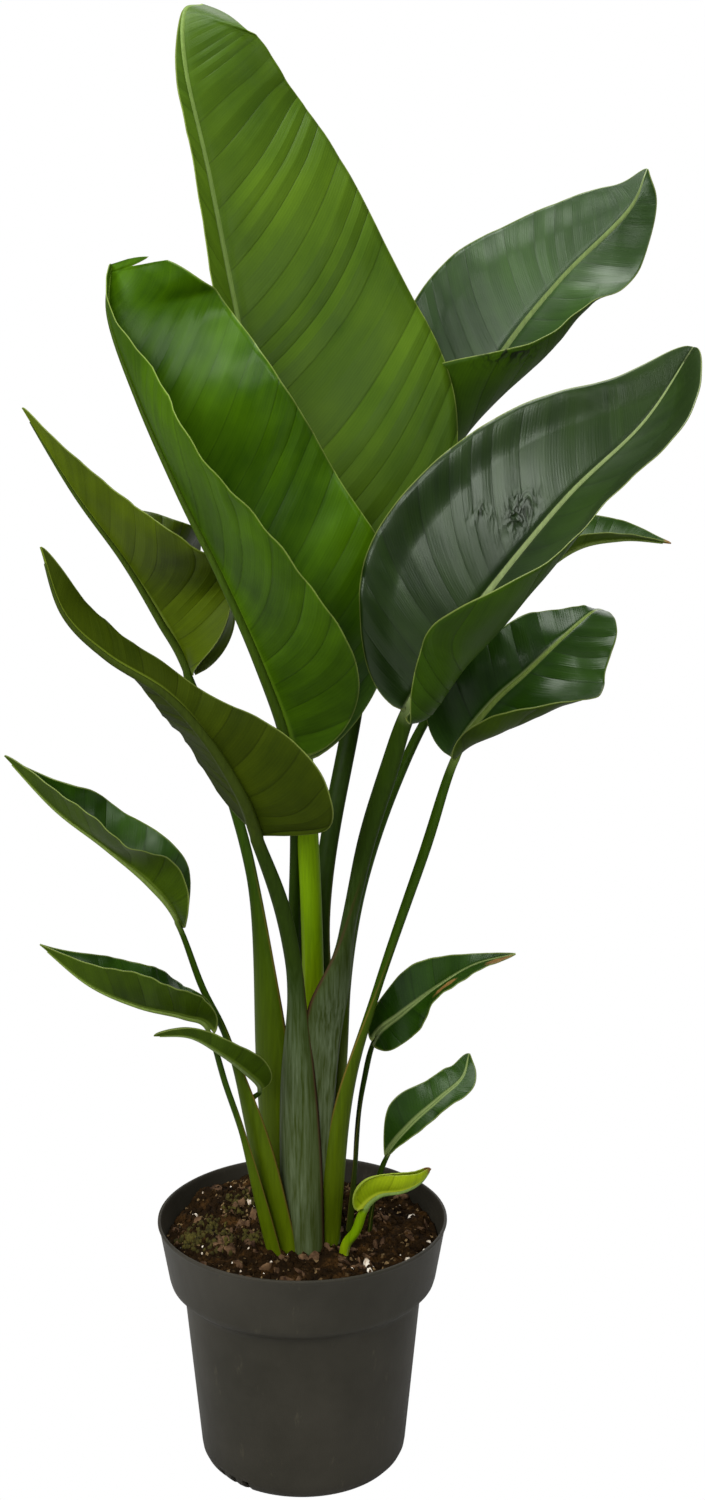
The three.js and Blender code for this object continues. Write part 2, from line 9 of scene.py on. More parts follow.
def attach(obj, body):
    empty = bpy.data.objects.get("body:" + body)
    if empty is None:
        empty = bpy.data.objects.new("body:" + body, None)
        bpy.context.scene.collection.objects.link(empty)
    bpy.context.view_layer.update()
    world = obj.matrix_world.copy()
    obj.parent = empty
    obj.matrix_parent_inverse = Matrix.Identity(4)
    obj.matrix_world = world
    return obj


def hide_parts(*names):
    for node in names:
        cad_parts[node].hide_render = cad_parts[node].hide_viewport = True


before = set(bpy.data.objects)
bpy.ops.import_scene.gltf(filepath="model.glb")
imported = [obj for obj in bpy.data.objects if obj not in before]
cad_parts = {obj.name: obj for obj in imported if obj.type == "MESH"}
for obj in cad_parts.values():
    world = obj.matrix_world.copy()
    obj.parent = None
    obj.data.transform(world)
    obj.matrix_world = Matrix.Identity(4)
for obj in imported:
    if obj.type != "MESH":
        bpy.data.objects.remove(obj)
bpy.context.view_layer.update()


# ---- camera, floor and light ----
# A pale studio sweep under large soft lamps, as for a plant shop's catalogue. The camera is as high as the
# upper leaves and looks down a little, so that the soil shows in the pot.
CAMERA_PLACE = (0.0415, -1.7, 1.0155)
CAMERA_DIP = 13.32
CAMERA_LENS = 53.1
LAMPS_AIM = Vector((0, 0, 0.65))
SWEEP_REACH = 12

camera = bpy.data.objects.new("camera", bpy.data.cameras.new("camera"))
camera.location = CAMERA_PLACE
camera.rotation_euler = (math.radians(90 - CAMERA_DIP), 0, 0)
camera.data.lens = CAMERA_LENS
bpy.context.scene.collection.objects.link(camera)
bpy.context.scene.camera = camera
bpy.context.scene.view_settings.view_transform = "Standard"


def linear(code):
    """An sRGB hex colour as the linear colour that a shader works in."""
    shares = [int(code[i:i + 2], 16) / 255 for i in (1, 3, 5)]
    return tuple(c / 12.92 if c <= 0.04045 else ((c + 0.055) / 1.055) ** 2.4 for c in shares) + (1,)


def add(tree, kind, inputs=None, stops=(), **settings):
    """A shader node of that kind, with its settings, the stops of its colour ramp, and its inputs set to
    values or linked to sockets, where a node stands for its first one."""
    node = tree.nodes.new("ShaderNode" + kind)
    for key, value in settings.items():
        setattr(node, key, value)
    for socket, value in (inputs or {}).items():
        if isinstance(value, bpy.types.Node):
            value = value.outputs[0]
        if isinstance(value, bpy.types.NodeSocket):
            tree.links.new(value, node.inputs[socket])
        else:
            node.inputs[socket].default_value = value
    if stops:
        ramp = node.color_ramp.elements
        for position, code in stops:
            ramp.new(position).color = linear(code)
        ramp.remove(ramp[-1])
        ramp.remove(ramp[0])
    return node


def new_material(name):
    """A material and its emptied tree."""
    material = bpy.data.materials.new(name)
    material.use_nodes = True
    material.node_tree.nodes.clear()
    return material, material.node_tree


def place(name, shape, materials):
    """Turns a bmesh in place into a smooth object at the origin."""
    mesh = bpy.data.meshes.new(name)
    shape.to_mesh(mesh)
    shape.free()
    for material in materials:
        mesh.materials.append(material)
    mesh.shade_smooth()
    piece = bpy.data.objects.new(name, mesh)
    bpy.context.scene.collection.objects.link(piece)
    return piece


# Matt painted boards: pale, with no pattern. The camera doesn't see them; they only bounce light onto the
# plant.
board, tree = new_material("matt white studio board")
white = add(tree, "BsdfPrincipled", {"Base Color": linear("#b4b4b2"), "Roughness": 0.9})
add(tree, "OutputMaterial", {"Surface": white})
sweep = bmesh.new()
bmesh.ops.create_grid(sweep, x_segments=2, y_segments=2, size=SWEEP_REACH)
floor = place("studio_floor", sweep, [board])
floor.visible_camera = False

for name, spot, size, watts in [
    ("left_softbox", (-1.65, -1.2, 1.9), 1.2, 44),
    ("front_softbox", (-0.45, -2.2, 1.65), 1.0, 36),
    ("right_softbox", (1.8, -1.6, 1.7), 1.0, 22),
    ("top_softbox", (0.0, 0.2, 2.8), 1.4, 56),
    ("back_softbox", (0.6, 2.2, 1.7), 1.6, 14),
]:
    lamp = bpy.data.objects.new(name, bpy.data.lights.new(name, "AREA"))
    lamp.data.size = size
    lamp.data.energy = watts
    lamp.location = spot
    lamp.rotation_euler = (LAMPS_AIM - Vector(spot)).to_track_quat("-Z", "Y").to_euler()
    bpy.context.scene.collection.objects.link(lamp)
world = bpy.data.worlds.new("white surround")
world.use_nodes = True
sky = world.node_tree
seen = add(sky, "LightPath")
glow = add(sky, "MapRange", {"Value": seen.outputs["Is Camera Ray"], "To Min": 0.23, "To Max": 1.0})
sky.links.new(glow.outputs[0], sky.nodes["Background"].inputs["Strength"])
sky.nodes["Background"].inputs["Color"].default_value = (1, 1, 1, 1)
bpy.context.scene.world = world


# ---- pot ----
# A thin grower's pot of dark grey polypropylene, injection moulded in one shot: rounded foot, smooth
# tapered body, wide stepped collar and small rolled lip. Water leaves by holes and by slots in the foot.
MM = 0.001

# The outlines are (radius, height) in mm: from the middle of the foot up to the lip, and down again inside.
POT_OUTSIDE = [
    (0, 0), (66, 0), (71, 0.3), (75.5, 1.4), (80, 4), (83.3, 7.6), (85.4, 12), (86.2, 17), (98.2, 146),
    (98.3, 150), (98.9, 153.4), (101, 156.4), (107, 160.6), (110, 163.8), (111.2, 168), (118.6, 211.5),
    (119.4, 213), (120, 214.4), (119.9, 215.5), (119.2, 216),
]
POT_INSIDE = [
    (117.8, 216), (117.2, 215), (116.8, 212), (109.4, 170), (107.4, 166), (100, 158), (97, 151), (83.6, 14),
    (80, 8), (75, 3.8), (69, 2.5), (0, 2.5),
]
POT_SIDES = 144
HOLE_PLACE = 52
HOLE_RADIUS = 6
HOLE_ANGLES = [60 * i for i in range(6)]
CUTTER_LENGTH = 20
SLOT_PLACE = 81
SLOT_BOX = (20, 6.5, 26)
SLOT_ANGLES = [group + step for group in (228, 48) for step in (-9, 0, 9)]
MOULD_EDGE = 0.4

shape = bmesh.new()
rail = [shape.verts.new((r * MM, 0, z * MM)) for r, z in POT_OUTSIDE + POT_INSIDE]
for one, two in zip(rail, rail[1:]):
    shape.edges.new((one, two))
bmesh.ops.spin(
    shape, geom=shape.verts[:] + shape.edges[:], cent=(0, 0, 0), axis=(0, 0, 1),
    angle=2 * math.pi, steps=POT_SIDES, use_merge=True,
)
bmesh.ops.remove_doubles(shape, verts=shape.verts, dist=0.02 * MM)
bmesh.ops.recalc_face_normals(shape, faces=shape.faces)


def per_metre(size):
    """The scale of a pattern whose patches, lines or grains are that many mm across."""
    return 1 / (size * MM)


def mottle(tree, where, size, detail, roughness=0.5):
    """The strength of a cloudy pattern, its patches that many mm across and each as cloudy in turn."""
    return add(tree, "TexNoise", {
        "Vector": where, "Scale": per_metre(size), "Detail": detail, "Roughness": roughness,
    }).outputs["Fac"]


# Polypropylene, moulded against finely textured steel: an even satin skin, cloudy where it has aged, with
# upright streaks of dried dust where boxes and hands rubbed it. The real grain of 0.1 mm is drawn as one
# of 1.11 mm, or it would not show.
plastic, tree = new_material("moulded dark grey polypropylene")
where = add(tree, "TexCoord").outputs["Object"]
cloud = mottle(tree, where, 111, 5, 0.6)
tone = add(tree, "ValToRGB", {"Fac": cloud}, stops=[(0.3, "#24221a"), (0.72, "#35322a")])
upright = add(tree, "Mapping", {"Vector": where, "Scale": (1, 1, 0.25)})
scuff = mottle(tree, upright, 14.3, 8, 0.75)
scuffed = add(tree, "MapRange", {"Value": scuff, "From Min": 0.6, "From Max": 0.78, "To Max": 0.35})
dusty = add(tree, "MixRGB", {"Fac": scuffed, "Color1": tone, "Color2": linear("#6a6450")})
grain = mottle(tree, where, 1.11, 2)
skin = add(tree, "Bump", {"Height": grain, "Strength": 0.25, "Distance": 0.3 * MM})
rough = add(tree, "MapRange", {"Value": scuff, "To Min": 0.42, "To Max": 0.62})
moulded = add(tree, "BsdfPrincipled", {
    "Base Color": dusty, "Roughness": rough, "Normal": skin, "IOR": 1.49,
    "Specular IOR Level": 0.18,
})
add(tree, "OutputMaterial", {"Surface": moulded})

pot = place("pot_shell", shape, [plastic])
cutters = bmesh.new()
for angle in HOLE_ANGLES:
    turn = Matrix.Rotation(math.radians(angle), 4, "Z")
    bmesh.ops.create_cone(
        cutters, cap_ends=True, segments=24, radius1=HOLE_RADIUS * MM, radius2=HOLE_RADIUS * MM,
        depth=CUTTER_LENGTH * MM, matrix=turn @ Matrix.Translation((HOLE_PLACE * MM, 0, 0)),
    )
for angle in SLOT_ANGLES:
    turn = Matrix.Rotation(math.radians(angle), 4, "Z")
    at = turn @ Matrix.Translation((SLOT_PLACE * MM, 0, 0))
    bmesh.ops.create_cube(cutters, size=MM, matrix=at @ Matrix.Diagonal(SLOT_BOX + (1,)))
cutter = place("slot_cutter", cutters, [plastic])
bite = pot.modifiers.new("slots", "BOOLEAN")
bite.object = cutter
bite.solver = "EXACT"
soften = pot.modifiers.new("edges", "BEVEL")
soften.width = MOULD_EDGE * MM
soften.segments = 2
soften.limit_method = "ANGLE"
soften.angle_limit = math.radians(50)
graph = bpy.context.evaluated_depsgraph_get()
finished = bpy.data.meshes.new_from_object(pot.evaluated_get(graph))
pot.modifiers.clear()
pot.data = finished
pot.data.set_sharp_from_angle(angle=math.radians(40))
bpy.data.objects.remove(cutter)
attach(pot, "root")
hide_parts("pot")


# ---- soil ----
# Damp potting mix of peat, composted bark and a little white perlite, filled by hand and settled by
# watering, with a low mound at the crown, banks towards the back, and cushions of moss on the left.

# Sizes in mm. The underside is the mix's foot, and narrower than its top by the taper.
SOIL_EDGE = 113
SOIL_TOP = 200
SOIL_UNDERSIDE = 178
SOIL_TAPER = 0.925
SOIL_STEPS = 150
MOUND_RISE, MOUND_REACH = 2, 45
EDGE_DROP = 3
LUMP_RISE, LUMP_WIDTH = 5.5, 26
CRUMB_RISE, CRUMB_WIDTH = 1.6, 6

# Moss and banks are (x, y, half width, rise) in mm, and a bank that falls is a hollow.
MOSS = [(-80, 2, 22, 5), (-66, -22, 18, 4), (-92, -20, 14, 3), (-40, -14, 14, 3), (-52, 40, 22, 4)]
BANKS = [
    (-62, 70, 38, 10), (-20, 95, 30, 8), (62, 76, 30, 6), (0, -32, 34, -5), (-84, -48, 14, -2),
    (70, -40, 26, -2),
]


def soil_height(x, y):
    """The soil's top in mm at a place in mm."""
    away = math.hypot(x, y)
    mound = MOUND_RISE * math.exp(-((away / MOUND_REACH) ** 2)) - EDGE_DROP * (away / SOIL_EDGE) ** 6
    lumps = LUMP_RISE * noise.fractal(Vector((x, y, 3.7)) / LUMP_WIDTH, 0.8, 2.1, 4)
    crumbs = CRUMB_RISE * noise.fractal(Vector((x, y, 9.1)) / CRUMB_WIDTH, 0.7, 2.2, 3)
    cushions = sum(
        rise * math.exp(-(((x - cx) ** 2 + (y - cy) ** 2) / size ** 2))
        for cx, cy, size, rise in MOSS + BANKS
    )
    return SOIL_TOP + mound + lumps + crumbs + cushions


shape = bmesh.new()
bmesh.ops.create_grid(shape, x_segments=SOIL_STEPS, y_segments=SOIL_STEPS, size=1)
for corner in shape.verts:
    x, y, _ = corner.co
    away = SOIL_EDGE * max(abs(x), abs(y))
    turn = math.atan2(y, x)
    x, y = away * math.cos(turn), away * math.sin(turn)
    corner.co = (x * MM, y * MM, soil_height(x, y) * MM)
skirt = bmesh.ops.extrude_edge_only(shape, edges=[e for e in shape.edges if e.is_boundary])
for corner in skirt["geom"]:
    if isinstance(corner, bmesh.types.BMVert):
        corner.co = (corner.co.x * SOIL_TAPER, corner.co.y * SOIL_TAPER, SOIL_UNDERSIDE * MM)
bmesh.ops.holes_fill(shape, edges=[e for e in shape.edges if e.is_boundary])
bmesh.ops.recalc_face_normals(shape, faces=shape.faces)

# Peat and bark: dull and fibrous, near black where wet, red-brown where dry, flecked with paler splinters.
mix, tree = new_material("damp peat and bark potting mix")
where = add(tree, "TexCoord").outputs["Object"]
patches = mottle(tree, where, 22.2, 8, 0.75)
tone = add(tree, "ValToRGB", {"Fac": patches}, stops=[
    (0.34, "#0f0904"), (0.52, "#221607"), (0.7, "#4a3216"),
])
bits = add(tree, "TexVoronoi", {"Vector": where, "Scale": per_metre(2.38)})
pale = add(tree, "MapRange", {
    "Value": bits.outputs["Color"], "From Min": 0.86, "From Max": 0.9, "To Max": 0.6,
})
flecked = add(tree, "MixRGB", {"Fac": pale, "Color1": tone, "Color2": linear("#8f7650")})
fibres = mottle(tree, where, 3.03, 6, 0.8)
relief = add(tree, "Bump", {"Height": fibres, "Strength": 0.9, "Distance": 1.5 * MM})
peat = add(tree, "BsdfPrincipled", {
    "Base Color": flecked, "Roughness": 0.9, "Normal": relief, "Specular IOR Level": 0.05,
})
add(tree, "OutputMaterial", {"Surface": peat})
soil = place("potting_mix", shape, [mix])
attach(soil, "root")
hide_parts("soil")

GRAIN_REACH = 107
LUMPINESS = 0.25
LUMPS_PER_METRE = 700

# The lumps of the grains are the same each time.
noise.seed_set(7)


def sown(name, material, count, size, seed, spots=None, squash=0.7, copies=1, facets=1):
    """Loose grains on the soil: lumpy balls of size (least, most) in mm, scattered, or at spots given as
    (mm from the middle, degrees round). Copies repeat them around the middle."""
    draw = random.Random(seed)
    grains = bmesh.new()
    places = spots or [
        (GRAIN_REACH * math.sqrt(draw.uniform(0.02, 1)), draw.uniform(0, 360 / copies))
        for _ in range(count)
    ]
    for away, turn in places:
        at = Matrix.Rotation(math.radians(turn), 4, "Z") @ Matrix.Translation((away * MM, 0, 0))
        roll = draw.uniform(0, 6.28)
        axis = Vector((draw.random(), draw.random(), 1)).normalized()
        tilt = Matrix.Rotation(roll, 4, axis)
        stretch = Matrix.Diagonal((draw.uniform(0.8, 1.5), draw.uniform(0.7, 1.1), squash, 1))
        bmesh.ops.create_icosphere(
            grains, subdivisions=facets, radius=draw.uniform(*size) * MM, matrix=at @ tilt @ stretch,
        )
    if copies > 1:
        bmesh.ops.spin(
            grains, geom=grains.verts[:] + grains.edges[:] + grains.faces[:], cent=(0, 0, 0),
            axis=(0, 0, 1), angle=2 * math.pi * (copies - 1) / copies, steps=copies - 1,
            use_duplicate=True,
        )
    for corner in grains.verts:
        corner.co += LUMPINESS * MM * size[1] * noise.noise_vector(corner.co * LUMPS_PER_METRE)
        corner.co.z += soil_height(corner.co.x / MM, corner.co.y / MM) * MM
    piece = place(name, grains, [material])
    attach(piece, "root")
    return piece


sown("peat_crumbs", mix, 260, (1.0, 3.4), 5, copies=8)

# Composted bark: flat chips, torn along the grain, from red-brown to nearly black.
bark, tree = new_material("composted pine bark chips")
where = add(tree, "TexCoord").outputs["Object"]
chip = mottle(tree, where, 11.1, 6, 0.7)
tone = add(tree, "ValToRGB", {"Fac": chip}, stops=[(0.35, "#23140a"), (0.68, "#6a5138")])
relief = add(tree, "Bump", {"Height": chip, "Strength": 0.8, "Distance": 1 * MM})
woody = add(tree, "BsdfPrincipled", {
    "Base Color": tone, "Roughness": 0.8, "Normal": relief, "Specular IOR Level": 0.1,
})
add(tree, "OutputMaterial", {"Surface": woody})
sown("bark_chips", bark, 70, (2.5, 5.5), 8, squash=0.3, copies=2, facets=2)

# Perlite: volcanic glass puffed by heat to light white grains, dulled by the peat.
perlite, tree = new_material("expanded perlite grains")
where = add(tree, "TexCoord").outputs["Object"]
froth = mottle(tree, where, 6.25, 5, 0.7)
tone = add(tree, "ValToRGB", {"Fac": froth}, stops=[(0.3, "#8f7a60"), (0.62, "#e9e0cf")])
relief = add(tree, "Bump", {"Height": froth, "Strength": 0.7, "Distance": 1 * MM})
puffed = add(tree, "BsdfPrincipled", {"Base Color": tone, "Roughness": 0.85, "Normal": relief})
add(tree, "OutputMaterial", {"Surface": puffed})
FRONT_GRAINS = [
    (104, 285), (100, 292), (106, 291), (96, 300), (101, 303), (105, 299), (106, 309), (88, 309), (79, 312),
    (98, 333), (104, 345), (106, 351), (99, 252), (104, 256), (106, 249), (103, 243), (106, 262), (96, 163),
    (104, 178), (70, 100), (85, 60), (97, 20), (60, 140),
]
sown("perlite_grains", perlite, 0, (1.6, 3.6), 3, spots=FRONT_GRAINS, squash=0.8, facets=2)
sown("fine_perlite", perlite, 80, (0.6, 1.3), 14, squash=0.8)

# Cushion moss: a low felt of short leafy shoots, brown at their feet and olive at the tips.
moss, tree = new_material("cushion moss")
where = add(tree, "TexCoord").outputs["Object"]
felt = mottle(tree, where, 8.33, 6, 0.75)
tone = add(tree, "ValToRGB", {"Fac": felt}, stops=[(0.36, "#1a1608"), (0.68, "#4a441a")])
velvet = add(tree, "BsdfPrincipled", {"Base Color": tone, "Roughness": 0.9, "Specular IOR Level": 0.1})
add(tree, "OutputMaterial", {"Surface": velvet})
SHOOTS = 60
SHOOT_SPREAD = 0.42
draw = random.Random(21)
moss_spots = []
for cx, cy, size, rise in MOSS:
    for _ in range(SHOOTS):
        x = cx + draw.gauss(0, SHOOT_SPREAD * size)
        y = cy + draw.gauss(0, SHOOT_SPREAD * size)
        if math.hypot(x, y) < GRAIN_REACH:
            moss_spots.append((math.hypot(x, y), math.degrees(math.atan2(y, x))))
sown("moss_cushions", moss, 0, (1.2, 2.6), 4, spots=moss_spots, squash=1.1)


# ---- how every leaf grows ----
# A leaf is a long stalk, hollowed and clasping at its foot, that runs on as the midrib of a paddle-shaped
# blade. Each is drawn along a curve through a few points on its upper side, in mm from the pot's base.

# The blade's thickness and its thinnest half, the midrib's half width at its tip and the share of the blade
# that it reaches, and the distance between two side veins, in mm.
BLADE_THICK = 0.7
THINNEST_HALF = 0.8
RIB_TIP = 0.5
RIB_END = 0.96
VEIN_PITCH = 24

# How far a side vein runs forward for each mm out, and how it bends; fine waves of the margin to a broad one;
# the step in which a curve's direction is read; and how finely blades and stalks are divided.
VEIN_LEAN = 0.32
VEIN_BEND = 0.0014
FINE_WAVES = 4.3
ALONG_A_BIT = 0.002
BLADE_ROWS, BLADE_COLUMNS = 130, 52
STALK_SIDES, STALK_STEPS = 40, 150


def through(stations, share):
    """A smooth run through evenly spaced stations, numbers or points, at a share from 0 to 1."""
    last = len(stations) - 1
    i = min(int(share * last), last - 1)
    t = share * last - i
    b, c = stations[i], stations[i + 1]
    a = stations[i - 1] if i > 0 else 2 * b - c
    d = stations[i + 2] if i + 2 <= last else 2 * c - b
    return b + 0.5 * t * (c - a + t * (2 * a - 5 * b + 4 * c - d + t * (3 * (b - c) + d - a)))


def ease(value, low, high):
    """A soft step from 0 at low to 1 at high."""
    t = min(1, max(0, (value - low) / (high - low)))
    return t * t * (3 - 2 * t)


def leaf_frame(leaf, t):
    """Point, direction, upward face and side of the leaf at t, from 0 at the root to 1 at the tip."""
    neck = leaf["neck"]
    at = through(leaf["line"], t)
    before = through(leaf["line"], max(0, t - ALONG_A_BIT))
    after = through(leaf["line"], min(1, t + ALONG_A_BIT))
    ahead = (after - before).normalized()
    root, base, tip = leaf["face"]
    face = root.lerp(base, ease(t, 0, neck)) if t < neck else base.lerp(tip, (t - neck) / (1 - neck))
    face = (face - face.dot(ahead) * ahead).normalized()
    return at, ahead, face, ahead.cross(face)


def rib_size(leaf, run):
    """Half width and half depth of the midrib at a share of the blade's length."""
    share = max(0, 1 - run) ** 0.8
    return [RIB_TIP + (0.8 * size - RIB_TIP) * share for size in leaf["stem"]]


def half_width(leaf, half, hand, u):
    """The width of one half of the blade at u: a rounded outline, less its nicks."""
    width = max(THINNEST_HALF, 2 * math.sqrt(max(0, u * (1 - u))) * through(leaf["half"][half], u))
    for nick_hand, place_u, spread, depth in leaf["nicks"]:
        if nick_hand == hand:
            width *= 1 - depth * max(0, 1 - abs(u - place_u) / spread)
    return width


def blade_row(leaf, u, columns):
    """The blade's points across at u, from the left margin to the right one, each with its distance from
    the midrib and to the margin, how far along the midrib its side vein leaves it, and its panel."""
    at, ahead, face, side = leaf_frame(leaf, leaf["neck"] + u * (1 - leaf["neck"]))
    rib, _ = rib_size(leaf, u)
    height, waves = leaf["wave"]
    row = []
    for s in columns:
        half, hand = (0, -1) if s < 0 else (1, 1)
        reach = abs(s)
        width = half_width(leaf, half, hand, u)
        across = reach * width

        # The half rises by its fold and bends on by its curl, as an arc of its own width.
        fold = math.radians(through(leaf["fold"][half], u))
        curl = math.radians(through(leaf["curl"][half], u)) or 0.0001
        turned = fold + curl * reach
        out = width / curl * (math.sin(turned) - math.sin(fold))
        up = width / curl * (math.cos(fold) - math.cos(turned))
        normal = math.cos(turned) * face - hand * math.sin(turned) * side

        # Side veins run out and forward, and the blade is creased into unequal panels between them.
        forward = VEIN_LEAN + 0.3 * u + leaf["sweep"] * u ** 5
        lean = u * leaf["length"] - forward * across - VEIN_BEND * across ** 2
        drift = noise.noise(Vector((lean / 55, 7.3 * leaf["stem"][0], 3 * hand)))
        panel = lean / VEIN_PITCH + 0.9 * drift
        swell = 0.6 + 0.8 * noise.cell(Vector((math.floor(panel), leaf["stem"][1], hand)))
        pleat = leaf["pleat"] * swell * (abs(math.sin(math.pi * panel)) ** 0.8 - 0.6)
        pleat *= ease(across, 0, 30) * ease(1 - u, 0.05, 0.4)

        # Its margin waves, once broadly and once finely, and a channel lies over the midrib.
        broad = math.sin(2 * math.pi * waves * u + hand)
        fine = math.sin(2 * math.pi * FINE_WAVES * waves * u + 2 * hand)
        ripple = height * (reach ** 2 * broad + 0.25 * reach ** 3 * fine) * math.sin(math.pi * u)
        channel = -0.45 * rib * math.exp(-((across / (0.6 * rib + 0.6)) ** 2))

        # Its base hangs back past the neck by the lobe.
        back = leaf["lobe"] * max(leaf["half"][half]) * reach ** 2 * (1 - u) ** 6
        point = at + hand * out * side + up * face - back * ahead + (ripple + channel + pleat) * normal
        row.append((point, hand * across, width - across, lean, panel + 40 * hand))
    return row


def marked(spots, s, u):
    """How strongly the blade is marked at (s, u) by spots of (s, u, reach in s, reach in u)."""
    return max([0] + [math.exp(-(((s - ds) / rs) ** 2) - ((u - du) / ru) ** 2) for ds, du, rs, ru in spots])


def grow_blade(leaf, upper, under):
    """The blade: a sheet with a channel over its midrib, pleated by its side veins, its margins waved."""
    sheet = bmesh.new()
    shares = sheet.loops.layers.uv.new("shares")
    veins = sheet.loops.layers.uv.new("veins")
    bmesh.ops.create_grid(sheet, x_segments=BLADE_COLUMNS, y_segments=BLADE_ROWS, size=1)
    dry = sheet.verts.layers.float.new("dry")
    crushed = sheet.verts.layers.float.new("crushed")
    margin = sheet.verts.layers.float.new("margin")
    panels = sheet.verts.layers.float.new("panel")
    flat = {}
    lines = {}
    for corner in sheet.verts:
        lines.setdefault(round(corner.co.y, 5), []).append(corner)
    for y, corners in lines.items():
        corners.sort(key=lambda c: c.co.x)
        even = (y + 1) / 2
        u = even - 0.09 * math.sin(2 * math.pi * even)
        spread = [math.copysign(abs(c.co.x) ** 1.25, c.co.x) for c in corners]
        row = blade_row(leaf, u, spread)
        for corner, s, (point, across, inside, lean, panel) in zip(corners, spread, row):
            corner.co = point * MM
            corner[dry] = marked(leaf["dry"], s, u)
            corner[crushed] = marked(leaf["crushed"], s, u)
            corner[margin] = inside
            corner[panels] = panel
            flat[corner.index] = ((s, u), (across * MM, lean * MM))
    sheet.verts.index_update()
    for patch in sheet.faces:
        for loop in patch.loops:
            loop[shares].uv, loop[veins].uv = flat[loop.vert.index]
    blade = place(leaf["name"] + "_blade_sheet", sheet, [upper, under])
    sheet_wall = blade.modifiers.new("thickness", "SOLIDIFY")
    sheet_wall.thickness = BLADE_THICK * MM
    sheet_wall.offset = 0
    sheet_wall.material_offset = 1
    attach(blade, "root")
    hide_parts(leaf["name"] + "_blade")
    return blade


def grow_stalk(leaf, skin):
    """The stalk: a gutter with thin wings at its foot, round higher up, and slender under the blade."""
    neck = leaf["neck"]
    tube = bmesh.new()
    shares = tube.loops.layers.uv.new("shares")
    bmesh.ops.create_grid(tube, x_segments=STALK_SIDES, y_segments=STALK_STEPS, size=1)
    flat = {}
    lines = {}
    for corner in tube.verts:
        lines.setdefault(round(corner.co.y, 5), []).append(corner)
    foot_width, foot_depth, left_top, right_top = leaf["sheath"]
    stem_width, stem_depth = leaf["stem"]
    for y, corners in lines.items():
        t = (y + 1) / 2 * (neck + (1 - neck) * RIB_END)
        at, ahead, face, side = leaf_frame(leaf, t)
        run = t / neck
        if run <= 1:
            thin = 1 - 0.2 * ease(run, 0.75, 1)
            wings = [1 - ease(run, top - leaf["taper"], top) for top in (left_top, right_top)]
            foot = max(wings)
            depth = thin * (stem_depth + (foot_depth - stem_depth) * foot)
            groove = 0.3 + 1.1 * foot
            reaches = [thin * (stem_width + (foot_width - stem_width) * wing) for wing in wings]
            back = (0.8 * stem_depth + BLADE_THICK / 2) * run
        else:
            run = 1 + (t - neck) / (1 - neck)
            width, depth = rib_size(leaf, run - 1)
            reaches, groove, back = [width, width], 0.15, 0.85 * depth
        for corner in corners:
            angle = math.pi * corner.co.x
            flat[corner.index] = ((corner.co.x + 1) / 2, run)
            reach = reaches[1] if math.cos(angle) > 0 else reaches[0]
            rise = depth * math.sin(angle) * (1 - groove if math.sin(angle) > 0 else 1)
            corner.co = (at + reach * math.cos(angle) * side + (rise - back) * face) * MM
    tube.verts.index_update()
    for panel in tube.faces:
        for loop in panel.loops:
            loop[shares].uv = flat[loop.vert.index]
    bmesh.ops.remove_doubles(tube, verts=tube.verts, dist=0.01 * MM)
    bmesh.ops.holes_fill(tube, edges=[e for e in tube.edges if e.is_boundary])
    bmesh.ops.recalc_face_normals(tube, faces=tube.faces)
    stalk = place(leaf["name"] + "_stalk_tube", tube, [skin])
    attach(stalk, "root")
    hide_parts(leaf["name"] + "_stalk")
    return stalk


def grow_leaf(name, upper, under, skin, line, neck, face, sheath, stem, half, fold, curl, lobe, wave,
              pleat, taper=0.33, sweep=1.0, dry=(), crushed=(), nicks=()):
    """One leaf, both its pieces. Its line is followed by the stalk up to the point numbered neck, and from
    there by the blade. Face: which way the upper side looks, at the root, the neck and the tip. Sheath: the
    clasping foot's half width and half depth, and each wing's height as a share of the stalk, ending over
    the share taper. Stem: the stalk's half width and half depth. Half, fold and curl: for the left and the
    right half of the blade, at even steps from neck to tip, its width and the degrees by which it rises and
    then bends on. Lobe: how far the base hangs back. Wave: the margin's rise and count. Pleat: the rise
    between side veins. Sweep: how much these turn forward near the tip. Dry and crushed: marked spots. Nick:
    (hand, u, reach in u, depth)."""
    leaf = {
        "name": name, "line": [Vector(p) for p in line], "neck": neck / (len(line) - 1), "sheath": sheath,
        "stem": stem, "face": [Vector(f).normalized() for f in face], "half": half, "fold": fold,
        "curl": curl, "lobe": lobe, "wave": wave, "taper": taper, "pleat": pleat, "sweep": sweep,
        "dry": dry, "crushed": crushed, "nicks": nicks,
    }
    marks = [through(leaf["line"], leaf["neck"] + (1 - leaf["neck"]) * i / 50) for i in range(51)]
    leaf["length"] = sum((two - one).length for one, two in zip(marks, marks[1:]))
    grow_blade(leaf, upper, under)
    grow_stalk(leaf, skin)


# Living leaf tissue: a waxy, glossy upper skin over closely ribbed side veins that leave the midrib nearly
# square and sweep to the margin, which is pale and thin. The underside is duller. The threads between two
# creases, under a millimetre apart in the real one, are drawn 2.1 mm apart, or they would not show.
THREAD_PITCH = 2.1
MARGIN_GREEN = "#8d9a4e"
DRY_BROWNS = ("#3a2410", "#9a7540")
CRACK_BLACK = "#0a1204"
CUTICLE_TINT = "#ecf7e8"


